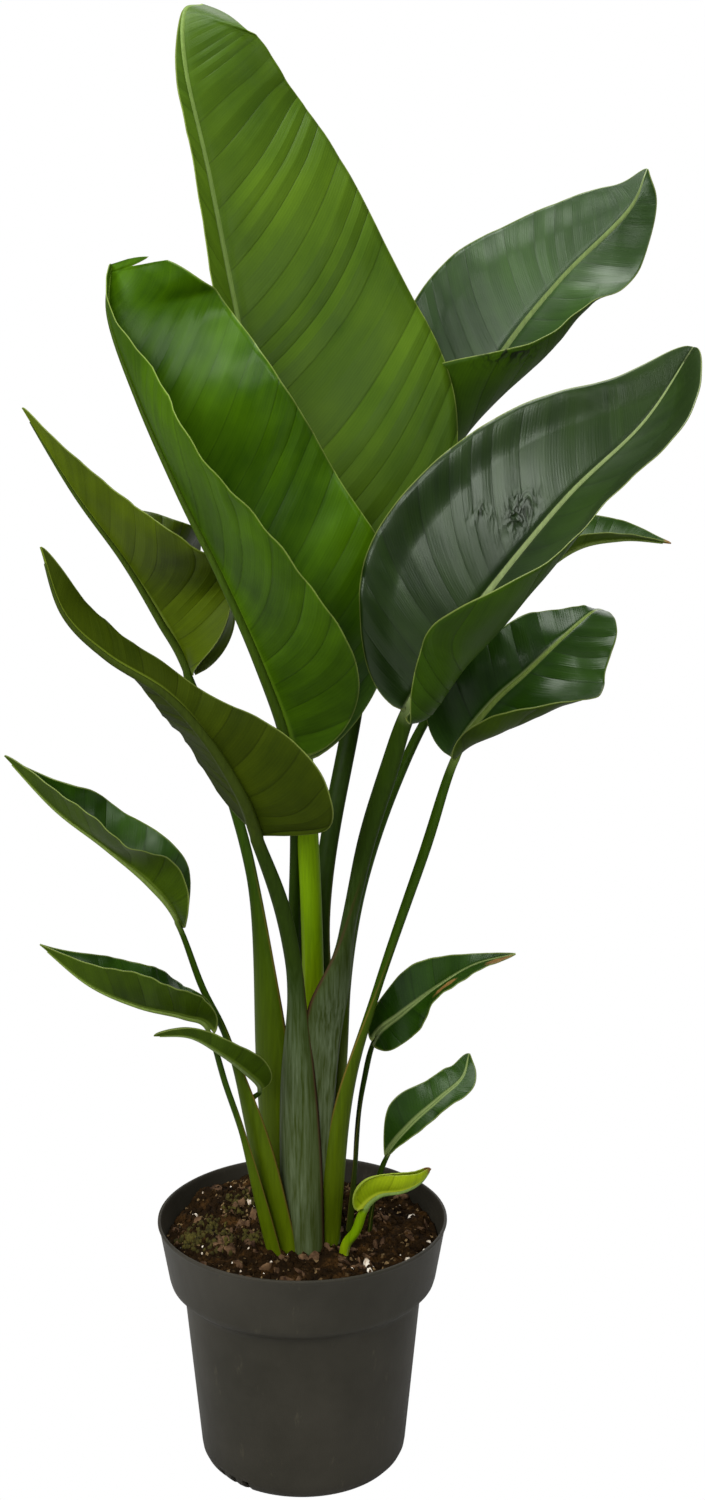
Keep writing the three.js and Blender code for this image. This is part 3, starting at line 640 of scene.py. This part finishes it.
def leaf_skin(name, deep, fresh, rib, rough, shine=0.08, pleat=3, roll=2):
    """A leaf's skin in its darkest and its freshest green, with the midrib's colour, and the mm by which
    its relief swells between creases and rolls up at the margin."""
    material, tree = new_material(name)
    where = add(tree, "TexCoord").outputs["Object"]
    shares = add(tree, "SeparateXYZ", {0: add(tree, "UVMap", uv_map="shares")})
    veins = add(tree, "UVMap", uv_map="veins")
    metres = add(tree, "SeparateXYZ", {0: veins})

    # Clouded green, with streaks drawn out along the side veins.
    cloud = mottle(tree, where, 90.9, 4, 0.55)
    drawn = add(tree, "Mapping", {"Vector": veins, "Scale": (per_metre(111), per_metre(10.53), 1)})
    streaks = add(tree, "TexNoise", {"Vector": drawn, "Scale": 1, "Detail": 6, "Roughness": 0.65})
    blend = add(tree, "MixRGB", {"Fac": 0.35, "Color1": cloud, "Color2": streaks.outputs["Fac"]})
    green = add(tree, "ValToRGB", {"Fac": blend}, stops=[(0.34, deep), (0.66, fresh)])

    # Painted shade: a dark line along the crease on both sides of each panel, and a random brightness for
    # each panel, stand in for the shade and light of the pleats. The fine threads are the leaf's own.
    panel = add(tree, "Attribute", attribute_name="panel").outputs["Fac"]
    part = add(tree, "Math", {0: panel, 1: 1}, operation="FLOORED_MODULO")
    crease = add(tree, "Math", {0: part, 1: 0.5, 2: 0.5}, operation="PINGPONG")
    # Painted shade: the colour darkens along each crease, where the pleats lie in shade.
    line = add(tree, "MapRange", {
        "Value": crease, "From Max": 0.04, "To Min": 0.72, "To Max": 1,
    }, interpolation_type="SMOOTHSTEP")
    number = add(tree, "Math", {0: panel}, operation="FLOOR")
    chance = add(tree, "TexWhiteNoise", {"W": number}, noise_dimensions="1D")
    # Painted light and shade: each panel gets a random brightness, as if it faced the light at its own angle.
    panel_light_and_shade = add(tree, "MapRange", {"Value": chance.outputs["Value"], "To Min": 0.86, "To Max": 1.12})
    fine = add(tree, "TexWave", {
        "Vector": veins, "Scale": math.pi / 10 * per_metre(THREAD_PITCH), "Distortion": 0.5, "Detail": 1,
    }, bands_direction="Y")
    thread = add(tree, "MapRange", {"Value": fine.outputs["Fac"], "To Min": 0.95, "To Max": 1.05})
    painted_panel_shade = add(tree, "Math", {0: line, 1: panel_light_and_shade}, operation="MULTIPLY")
    painted_shade_and_threads = add(tree, "Math", {0: painted_panel_shade, 1: thread}, operation="MULTIPLY")
    left = add(tree, "Math", {0: 1, 1: shares.outputs[1]}, operation="SUBTRACT")
    fading = add(tree, "MapRange", {"Value": left, "From Min": 0.12, "From Max": 0.45})
    # The green with the painted crease and panel shade and the threads, fading out near the tip.
    green_with_shade_and_threads = add(tree, "MixRGB", {
        "Fac": fading, "Color1": green, "Color2": painted_shade_and_threads,
    }, blend_type="MULTIPLY")

    # The midrib, narrowing to the tip, and the pale margin.
    beside = add(tree, "Math", {0: metres}, operation="ABSOLUTE")
    rib_reach = add(tree, "Math", {0: left, 1: 2.8 * MM, 2: 0.7 * MM}, operation="MULTIPLY_ADD")
    over_rib = add(tree, "Math", {0: beside, 1: rib_reach}, operation="DIVIDE")
    ribbed = add(tree, "MapRange", {
        "Value": over_rib, "From Min": 0.55, "From Max": 1.15, "To Min": 0.85, "To Max": 0,
    })
    with_rib = add(tree, "MixRGB", {"Fac": ribbed, "Color1": green_with_shade_and_threads, "Color2": linear(rib)})
    inside = add(tree, "Attribute", attribute_name="margin").outputs["Fac"]
    edge = add(tree, "MapRange", {
        "Value": inside, "From Min": 0.3, "From Max": 1.1, "To Min": 0.4, "To Max": 0,
    })
    with_edge = add(tree, "MixRGB", {"Fac": edge, "Color1": with_rib, "Color2": linear(MARGIN_GREEN)})

    # Dry spots, ragged at their edges, and crushed ones, cracked dark where the skin buckled.
    dryness = add(tree, "Attribute", attribute_name="dry").outputs["Fac"]
    ragged = mottle(tree, where, 7.69, 5, 0.7)
    patchy = add(tree, "Math", {0: dryness, 1: ragged}, operation="ADD")
    dried = add(tree, "MapRange", {"Value": patchy, "From Min": 0.92, "From Max": 1.15})
    brown = add(tree, "MixRGB", {
        "Fac": ragged, "Color1": linear(DRY_BROWNS[0]), "Color2": linear(DRY_BROWNS[1]),
    })
    aged = add(tree, "MixRGB", {"Fac": dried, "Color1": with_edge, "Color2": brown})
    crush = add(tree, "Attribute", attribute_name="crushed").outputs["Fac"]
    tall = add(tree, "Mapping", {
        "Vector": where, "Rotation": (0, math.radians(20), 0), "Scale": (1, 1, 0.4),
    })
    buckled = add(tree, "TexNoise", {
        "Vector": tall, "Scale": per_metre(11.11), "Detail": 2, "Distortion": 0.3,
    })
    fold = add(tree, "Math", {0: buckled.outputs["Fac"], 1: 0.5}, operation="PINGPONG")
    crack = add(tree, "MapRange", {"Value": fold, "From Min": 0.44, "From Max": 0.475})
    cracked = add(tree, "Math", {0: crack, 1: crush}, operation="MULTIPLY")
    final = add(tree, "MixRGB", {"Fac": cracked, "Color1": aged, "Color2": linear(CRACK_BLACK)})

    # The relief that the light reads: swollen panels, the rolled margin, streaks, dents and threads.
    puff = add(tree, "Math", {0: crease, 1: 0.7}, operation="POWER")
    off_rib = add(tree, "MapRange", {
        "Value": beside, "From Min": 2 * MM, "From Max": 20 * MM, "To Min": 0.15,
    })
    strong = add(tree, "Math", {0: off_rib, 1: fading}, operation="MULTIPLY")
    pleats = add(tree, "Bump", {"Height": puff, "Strength": strong, "Distance": pleat * MM})
    rolled = add(tree, "MapRange", {"Value": inside, "From Max": 32}, interpolation_type="SMOOTHSTEP")
    rolling = add(tree, "Bump", {
        "Height": rolled, "Strength": 1, "Distance": roll * MM, "Normal": pleats,
    })
    relief = add(tree, "Bump", {
        "Height": streaks.outputs["Fac"], "Strength": 0.35, "Distance": 1.2 * MM, "Normal": rolling,
    })
    dented = add(tree, "Bump", {"Height": fold, "Strength": crush, "Distance": 12 * MM, "Normal": relief})
    threads = add(tree, "Bump", {
        "Height": fine.outputs["Fac"], "Strength": 0.2, "Distance": 0.1 * MM, "Normal": dented,
    })
    satin = add(tree, "MapRange", {"Value": cloud, "To Min": rough - 0.06, "To Max": rough + 0.08})
    tissue = add(tree, "BsdfPrincipled", {
        "Base Color": final, "Roughness": satin, "Normal": threads,
        "IOR": 1.45, "Specular IOR Level": shine, "Specular Tint": linear(CUTICLE_TINT),
    })
    add(tree, "OutputMaterial", {"Surface": tissue})
    return material


# Living stalk tissue: smooth, finely lined along its length, with a grey waxy bloom over the clasping foot
# and a thin papery brown margin on the wings.
WAX_GREY = "#8f9c88"


def stalk_skin(name, tones, hem, rough, bloom=0):
    """A stalk's skin in four tones, at its foot, its middle, the neck and the back of the midrib, with its
    wings' margin and the strength of its wax."""
    foot, middle, neck, top = tones
    material, tree = new_material(name)
    where = add(tree, "TexCoord").outputs["Object"]
    shares = add(tree, "SeparateXYZ", {0: add(tree, "UVMap", uv_map="shares")})
    run = add(tree, "Math", {0: shares.outputs[1], 1: 0.5}, operation="MULTIPLY")
    height = add(tree, "ValToRGB", {"Fac": run}, stops=[
        (0.02, foot), (0.22, middle), (0.27, neck), (0.47, neck), (0.52, top),
    ])
    drawn = add(tree, "Mapping", {"Vector": where, "Scale": (1, 1, 0.06)})
    lines = mottle(tree, drawn, 2.38, 4, 0.6)
    cloud = mottle(tree, where, 45.5, 5)
    shade = add(tree, "MapRange", {
        "Value": lines, "From Min": 0.3, "From Max": 0.7, "To Min": 0.82, "To Max": 1.16,
    })
    lined = add(tree, "MixRGB", {"Fac": 1, "Color1": height, "Color2": shade}, blend_type="MULTIPLY")

    # Wax and papery margins lie on the foot only, the wax between the wings and the margins at their edges.
    turn = add(tree, "Math", {0: shares, 1: 2 * math.pi}, operation="MULTIPLY")
    sine = add(tree, "Math", {0: turn}, operation="SINE")
    off_wing = add(tree, "Math", {0: sine}, operation="ABSOLUTE")
    on_foot = add(tree, "MapRange", {
        "Value": shares.outputs[1], "From Min": 0.35, "From Max": 0.6, "To Min": 1, "To Max": 0,
    })
    edge = add(tree, "MapRange", {
        "Value": off_wing, "From Min": 0.1, "From Max": 0.26, "To Min": 1, "To Max": 0,
    })
    on_wing = add(tree, "Math", {0: edge, 1: on_foot}, operation="MULTIPLY")
    wax = add(tree, "MapRange", {"Value": lines, "From Min": 0.35, "From Max": 0.7, "To Max": bloom})
    low_wax = add(tree, "Math", {0: wax, 1: on_foot}, operation="MULTIPLY")
    mid_wax = add(tree, "Math", {0: low_wax, 1: off_wing}, operation="MULTIPLY")
    waxed = add(tree, "MixRGB", {"Fac": mid_wax, "Color1": lined, "Color2": linear(WAX_GREY)})
    papery = add(tree, "MixRGB", {"Fac": on_wing, "Color1": waxed, "Color2": linear(hem)})
    relief = add(tree, "Bump", {"Height": lines, "Strength": 0.35, "Distance": 0.4 * MM})
    satin = add(tree, "MapRange", {"Value": cloud, "To Min": rough - 0.05, "To Max": rough + 0.1})
    tissue = add(tree, "BsdfPrincipled", {
        "Base Color": papery, "Roughness": satin, "Normal": relief,
        "IOR": 1.45, "Specular IOR Level": 0.07,
    })
    add(tree, "OutputMaterial", {"Surface": tissue})
    return material


# ---- tall centre leaf ----
# The tallest blade, young and bright green, stands nearly upright over the crown and nods back at its tip.
# Its stalk is the yellowest, in the middle of the fan.

# Young tissue: thin and bright yellow-green, with a satin wax and a pale green midrib.
young_upper = leaf_skin(
    "young leaf upper skin", "#2f4708", "#455f0c", rib="#7f9640", rough=0.42, shine=0.12, pleat=2.5,
)
young_under = leaf_skin("young leaf underside", "#364d05", "#50690c", rib="#6d8622", rough=0.5)
young_stalk = stalk_skin(
    "young stalk skin", ["#86960a", "#6f8a06", "#5f7e02", "#62783a"], hem="#7c8a3a", rough=0.42,
)
grow_leaf(
    "tall_centre_leaf", young_upper, young_under, young_stalk,
    line=[
        (4, 0, 168), (10, -3, 330), (12, -2, 440), (9, 2, 560), (0, 22, 690),
        (-21, 42, 822), (-46, 58, 936), (-70, 73, 1058), (-87, 90, 1132), (-90, 118, 1178),
        (-78, 156, 1188),
    ],
    neck=4, face=[(0.5, -0.8, 0), (0.72, -0.68, 0.05), (0.35, -0.35, 0.87)],
    sheath=(16, 12, 0.38, 0.38), stem=(9.5, 8.5),
    half=([62, 100, 44, 17, 4, 3], [205, 202, 140, 104, 80, 80]),
    fold=([45, 40, 24, 12, -20, 0], [45, 31, 23, 10, 10, 8]),
    curl=([10, 5, 0], [-10, 0, 0]),
    lobe=0.12, wave=(1, 3), pleat=0.5, sweep=3,
)


# ---- rolled centre leaf ----
# A broad young blade, not yet flat after unrolling: both halves stand up as a cone around the midrib, and
# its right margin is torn by a notch near the tip.

# Mature tissue: a fuller green and glossier, with a midrib hardly paler than the blade.
mature_upper = leaf_skin(
    "mature leaf upper skin", "#1d3902", "#446803", rib="#6c8a2c", rough=0.34, shine=0.15, pleat=2,
)
mature_under = leaf_skin("mature leaf underside", "#263f02", "#406004", rib="#4f6c14", rough=0.5)
# Painted shade: the stalk is a copy of the mature stalk skin whose midrib back is darker, for the shade on
# it.
shaded_stalk = stalk_skin(
    "mature stalk skin with painted shade on the rib", ["#2a3608", "#1d2c04", "#1e3002", "#33470c"], hem="#4a4a1c",
    rough=0.42,
)
grow_leaf(
    "rolled_centre_leaf", mature_upper, mature_under, shaded_stalk,
    line=[
        (-2, 8, 168), (-2, 12, 330), (-3, 11, 440), (1, 2, 560), (-6, -20, 625),
        (-26, -40, 690), (-53, -46, 755), (-86, -45, 823), (-116, -40, 890), (-138, -30, 950),
        (-138, -14, 988),
    ],
    neck=4, face=[(0.3, -0.9, 0), (0.9, -0.2, 0.4), (0.9, -0.2, 0.4)],
    sheath=(18, 13, 0.43, 0.43), stem=(6.5, 6),
    half=([110, 112, 110, 108, 36, 24], [158, 146, 112, 107, 105, 160]),
    fold=([81, 54, 30, 19, 20, 0], [60, 66, 70, 86, 80, 110]),
    curl=([15, 20, 20], [5, 5, 5]),
    lobe=0.15, wave=(3, 3.5), pleat=0.9, sweep=0.8,
    nicks=((1, 0.972, 0.01, 0.6),),
)


# ---- right back leaf ----
# An old dark blade behind the others on the right, with a grey sheen. Its lower right half curls over the
# midrib, where the margin is bruised.

# Old tissue: thick and nearly black-green, its wax worn to a grey sheen, with a pale midrib.
old_upper = leaf_skin(
    "old leaf upper skin", "#0e2304", "#233e09", rib="#8f9c70", rough=0.38, shine=0.47, pleat=1, roll=4,
)
old_under = leaf_skin("old leaf underside", "#1a2e02", "#2c4403", rib="#47601a", rough=0.48)
mature_stalk = stalk_skin(
    "mature stalk skin", ["#2a3608", "#1d2c04", "#1e3002", "#5c6c3c"], hem="#4a4a1c", rough=0.42,
)
grow_leaf(
    "right_back_leaf", old_upper, old_under, mature_stalk,
    line=[
        (13, 12, 168), (15, 16, 330), (15, 34, 480), (36, 78, 604), (58, 134, 695), (105, 174, 808),
        (165, 194, 908), (216, 200, 972), (271, 202, 1028), (287, 203, 1062),
    ],
    neck=4, face=[(-0.5, -0.8, 0), (-0.4, -0.85, 0.2), (-0.4, -0.8, 0.3)],
    sheath=(20, 14, 0.48, 0.48), stem=(8, 7),
    half=([82, 90, 86, 48, 15], [110, 152, 118, 78, 34, 17]),
    fold=([25, 10, 5], [10, 24, 7, 0, -33, 30]),
    curl=([10, -5, -5], [200, 230, 112, 77, 10, 0]),
    lobe=0.2, wave=(2, 3), pleat=0.4,
    crushed=((0.95, 0.4, 0.12, 0.035),),
)


# ---- right front leaf ----
# The largest dark blade, leaning out to the front right, its lower right half rolled forward. It was
# crushed beside the midrib and has dried dark there. Its grey waxy foot clasps the crown in front.

# The same old tissue, darker still, with a shine on its middle and dark margins. The stalk is waxy.
satin_upper = leaf_skin(
    "dark satin leaf upper skin", "#0c1c03", "#1e3205", rib="#7f8c60", rough=0.34, shine=0.42, pleat=1,
    roll=-8,
)
satin_under = leaf_skin("dark satin leaf underside", "#1a2e02", "#2c4403", rib="#47601a", rough=0.48)
waxy_stalk = stalk_skin(
    "waxy stalk skin", ["#38421a", "#26320c", "#1f3002", "#6c7a4c"], hem="#3c281a", rough=0.5, bloom=0.2,
)
grow_leaf(
    "right_front_leaf", satin_upper, satin_under, waxy_stalk,
    line=[
        (13, -8, 168), (18, -12, 330), (27, -16, 430), (45, -26, 530), (67, -44, 608),
        (83, -60, 660), (111, -75, 707), (143, -80, 754), (200, -75, 823), (256, -58, 875),
        (295, -30, 928),
    ],
    neck=5, face=[(-0.3, 0.95, 0), (-0.4, -0.85, 0.2), (-0.3, -0.85, 0.3)],
    sheath=(25, 14, 0.12, 0.5), stem=(8, 7.2),
    half=([88, 98, 92, 66, 36], [116, 95, 135, 72, 77, 50]),
    fold=([25, 15, 5], [-35, -10, 25, 30, 40, 45]),
    curl=([0, -5, -5], [160, 195, 95, 45, 20, 0]),
    lobe=0.05, wave=(2, 3), pleat=0.5, taper=0.14,
    crushed=((-0.22, 0.53, 0.11, 0.035), (-0.45, 0.49, 0.05, 0.015)),
)


# ---- upper left leaf ----
# A bronzed blade reaching up to the left, twisted so that its dull underside shows.

# Tissue bronzed by strong sun: brownish green on both sides.
bronzed_upper = leaf_skin(
    "bronzed leaf upper skin", "#2a3803", "#4a5a06", rib="#66762a", rough=0.4, shine=0.25,
)
bronzed_under = leaf_skin("bronzed leaf underside", "#2e3b02", "#4a5b04", rib="#66762a", rough=0.5)
# Painted shade: a copy of the green stalk skin whose midrib back is darker, for the shade on it.
green_stalk_shaded_rib = stalk_skin(
    "green stalk skin with painted shade on the rib", ["#4c5c04", "#2f4202", "#243a02", "#34440e"], hem="#5e501e",
    rough=0.42,
)
grow_leaf(
    "upper_left_leaf", bronzed_upper, bronzed_under, green_stalk_shaded_rib,
    line=[
        (-13, 6, 168), (-20, 11, 330), (-34, 18, 483), (-55, 30, 576), (-87, 38, 670),
        (-109, 30, 713), (-136, 19, 762), (-173, 13, 815), (-212, 13, 880),
    ],
    neck=4, face=[(0.6, 0.75, 0), (0.75, 0.3, 0.55), (0.75, 0.3, 0.55)],
    sheath=(20, 13, 0.56, 0.56), stem=(5.5, 5),
    half=([82, 75, 83, 43, 25], [91, 109, 56, 25, 12]),
    fold=([-25, 43, 18, 26, 12], [95, 42, 70, 15, 10]),
    curl=([20, 20, 10, 0, 0], [10, 5, 0, 0, 0]),
    lobe=0.05, wave=(2, 3), pleat=0.8,
)


# ---- lower left leaf ----
# A weathered olive blade that droops to the left in front of the fan and shows its underside and the back
# of its midrib.

# Weathered tissue: olive, its wax gone dull.
weathered_upper = leaf_skin(
    "weathered leaf upper skin", "#263302", "#425204", rib="#66762a", rough=0.4, shine=0.14,
)
weathered_under = leaf_skin(
    "weathered leaf underside", "#1f2a02", "#333f03", rib="#56641a", rough=0.6, shine=0.05,
)
weathered_stalk = stalk_skin(
    "weathered stalk skin", ["#38421a", "#28360a", "#203004", "#2e3a0a"], hem="#3c281a", rough=0.5,
    bloom=0.2,
)
grow_leaf(
    "lower_left_leaf", weathered_upper, weathered_under, weathered_stalk,
    line=[
        (2, -16, 168), (1, -22, 330), (-1, -28, 420), (-11, -42, 495), (-30, -60, 561),
        (-41, -80, 599), (-65, -100, 646), (-95, -115, 684), (-136, -125, 713), (-166, -130, 745),
        (-182, -125, 792),
    ],
    neck=4, face=[(0.53, 0.85, 0), (0.35, 0.75, 0.55), (0.35, 0.75, 0.55)],
    sheath=(20, 16, 0.52, 0.6), stem=(7, 6),
    half=([132, 98, 25, 21, 38, 15], [99, 71, 27, 33, 17]),
    fold=([-14, -5, 21, 67, 89, 48], [21, 24, 6, 60, 50]),
    curl=([10, 10, 40, 30, 10], [10, 10, 20, 30, 10]),
    lobe=0, wave=(1, 3), pleat=1, taper=0.45,
)


# ---- hidden right leaf ----
# A slim blade behind the right front leaf. Only its far end shows, dry and red-brown at the tip.

# Small leaves' tissue: deep green and glossy, the underside a lighter green.
deep_upper = leaf_skin(
    "deep green leaf upper skin", "#102702", "#233f04", rib="#7c8c54", rough=0.32, shine=0.27, pleat=2,
    roll=4,
)
deep_under = leaf_skin("deep green leaf underside", "#223202", "#364a04", rib="#4c5e1a", rough=0.5)
green_stalk = stalk_skin(
    "green stalk skin", ["#4c5c04", "#2f4202", "#243a02", "#627434"], hem="#5e501e", rough=0.42,
)
grow_leaf(
    "hidden_right_leaf", deep_upper, deep_under, green_stalk,
    line=[
        (18, 4, 168), (24, 4, 330), (31, 4, 420), (51, 4, 518), (78, 10, 596),
        (110, 25, 655), (157, 45, 716), (212, 60, 762), (256, 65, 772), (297, 65, 768),
    ],
    neck=5, face=[(-0.6, 0.75, 0), (-0.2, -0.3, 0.95), (-0.2, -0.1, 0.97)],
    sheath=(12, 11, 0.58, 0.58), stem=(5, 4.5),
    half=([36, 36, 27, 20, 8], [30, 28, 12, 12, 5]),
    fold=([50, 45, 30], [50, 45, 30]),
    curl=([10, 10, 10], [10, 10, 10]),
    lobe=0.2, wave=(2, 2), pleat=1,
    dry=((0, 1, 2, 0.05),),
)


# ---- right low leaf ----
# A short dark blade low on the right, blunt at its end and strongly pleated.
grow_leaf(
    "right_low_leaf", deep_upper, deep_under, green_stalk,
    line=[
        (17, -12, 168), (31, -16, 315), (60, -18, 424), (97, -18, 536), (121, -15, 611),
        (147, -20, 652), (176, -20, 680), (203, -10, 704), (228, 10, 721), (239, 32, 720),
    ],
    neck=4, face=[(-0.6, 0.75, 0), (-0.35, -0.8, 0.4), (-0.2, -0.7, 0.6)],
    sheath=(12, 9, 0.5, 0.52), stem=(4.5, 4),
    half=([75, 67, 42, 31, 12, 8], [57, 81, 82, 48, 32, 6]),
    fold=([11, 29, 23, 5, 0], [9, -23, -15, -21, -7, 0]),
    curl=([10, 5, 0], [143, 168, 101, 30, 6, 0]),
    lobe=0.02, wave=(2, 3), pleat=0.9, taper=0.4,
)


# ---- left side leaf ----
# A narrow blade on a thin stalk, folded up along its midrib like a trough, out to the left.
grow_leaf(
    "left_side_leaf", deep_upper, deep_under, green_stalk,
    line=[
        (-7, -20, 168), (-34, -27, 300), (-57, -34, 385), (-75, -42, 432), (-93, -50, 489),
        (-115, -60, 522), (-148, -68, 554), (-185, -70, 584), (-223, -65, 624),
    ],
    neck=4, face=[(0.6, 0.75, 0), (0.4, 0, 0.9), (0.4, 0, 0.9)],
    sheath=(13, 9, 0.50, 0.50), stem=(3.5, 3.2),
    half=([38, 36, 47, 32, 14], [39, 38, 31, 28, 4]),
    fold=([0, 52, 24, 44, 50], [35, 85, 50, 85, 80]),
    curl=([10, 10, 0, 0, 0], [10, 10, 10]),
    lobe=0.15, wave=(2.5, 2.5), pleat=0.4,
)


# ---- left low leaf ----
# A smaller trough of a blade below the last, on an even thinner stalk.
grow_leaf(
    "left_low_leaf", deep_upper, deep_under, green_stalk,
    line=[
        (-15, -30, 168), (-42, -40, 291), (-57, -50, 351), (-70, -60, 403), (-90, -70, 417),
        (-124, -80, 429), (-161, -85, 448), (-198, -85, 480),
    ],
    neck=3, face=[(0.6, 0.75, 0), (0.25, 0, 0.95), (0.25, 0, 0.95)],
    sheath=(7, 6, 0.43, 0.43), stem=(3, 2.8),
    half=([17, 33, 37, 28, 6], [33, 40, 34, 32, 6]),
    fold=([46, 51, 50, 60, 61], [43, 20, 43, 40, 80]),
    curl=([10, 10, 10], [10, 10, 10]),
    lobe=0.15, wave=(2, 2.5), pleat=0.4,
)


# ---- left small leaf ----
# A juvenile blade no longer than a finger, low on the left of the crown.
grow_leaf(
    "left_small_leaf", deep_upper, deep_under, mature_stalk,
    line=[
        (-12, -6, 168), (-28, -14, 263), (-39, -28, 325), (-32, -38, 344), (-43, -58, 366),
        (-61, -76, 388), (-84, -85, 405), (-112, -88, 407),
    ],
    neck=3, face=[(0.8, -0.3, 0.3), (0.4, 0.3, 0.8), (0.25, 0.2, 0.93)],
    sheath=(5, 4.5, 0.38, 0.38), stem=(2.2, 2),
    half=([22, 21, 16, 12, 10], [20, 16, 13, 10, 9]),
    fold=([40, 40, 40], [40, 40, 40]),
    curl=([20, 20, 20], [20, 20, 20]),
    lobe=0.1, wave=(1, 2), pleat=0.2,
)


# ---- right side leaf ----
# A small old blade on the right, its right margin browned and dry.
grow_leaf(
    "right_side_leaf", deep_upper, deep_under, mature_stalk,
    line=[
        (34, 8, 168), (44, 16, 285), (50, 18, 328), (60, 12, 368), (80, 0, 392),
        (112, -10, 421), (140, -15, 440), (172, -15, 449),
    ],
    neck=3, face=[(-0.9, 0.2, 0.2), (-0.3, -0.8, 0.4), (-0.2, -0.85, 0.4)],
    sheath=(6, 5, 0.43, 0.43), stem=(2.5, 2.3),
    half=([24, 24, 28, 11, 5], [40, 24, 25, 19, 6]),
    fold=([0, 38, 0], [9, 0, 58, 59, 45]),
    curl=([0, 0, 0], [0, 0, 0]),
    lobe=0.2, wave=(1.5, 2.5), pleat=0.4,
    dry=((0.6, 0.9, 0.5, 0.12), (0.5, 0.55, 0.2, 0.1)),
)


# ---- right small leaf ----
# The lowest open blade on the right, short and broad, over the pot's rim.
grow_leaf(
    "right_small_leaf", deep_upper, deep_under, mature_stalk,
    line=[
        (52, 4, 168), (58, 3, 230), (70, 0, 270), (89, -6, 299), (113, -10, 324),
        (131, -6, 340), (137, 4, 357),
    ],
    neck=2, face=[(-0.9, 0.2, 0.2), (-0.3, -0.8, 0.5), (-0.3, -0.8, 0.5)],
    sheath=(4.5, 4, 0.38, 0.38), stem=(2.5, 2.2),
    half=([10, 27, 18, 17, 12], [16, 13, 12, 15, 7]),
    fold=([39, 22, 18], [41, 8, 20]),
    curl=([5, 0, 0], [15, 5, 0]),
    lobe=0.1, wave=(1.5, 2), pleat=0.3,
)


# ---- curled young leaf ----
# A yellow-green shoot at the soil, its blade still curled into a spoon, with a dry tip.

# New tissue: yellow-green all over, with hardly any chlorophyll yet.
sprout_upper = leaf_skin(
    "sprouting leaf upper skin", "#5d7404", "#8a9c10", rib="#a0ac30", rough=0.4, shine=0.15,
)
sprout_under = leaf_skin("sprouting leaf underside", "#627a04", "#8c9e10", rib="#98a428", rough=0.45)
grow_leaf(
    "curled_young_leaf", sprout_upper, sprout_under, young_stalk,
    line=[
        (31, -38, 168), (34, -46, 208), (42, -54, 228), (49, -58, 250), (62, -62, 264),
        (81, -66, 269), (95, -64, 275), (104, -58, 283),
    ],
    neck=3, face=[(-0.5, -0.5, 0.2), (-0.3, -0.4, 0.9), (-0.3, -0.4, 0.9)],
    sheath=(5, 4.5, 0.38, 0.38), stem=(4.5, 4),
    half=([22, 24, 20, 15, 11], [22, 22, 18, 13, 10]),
    fold=([70, 60, 50], [70, 60, 50]),
    curl=([60, 60, 60], [60, 60, 60]),
    lobe=0.2, wave=(0.5, 2), pleat=0.2,
    dry=((0, 1, 2, 0.12),),
)
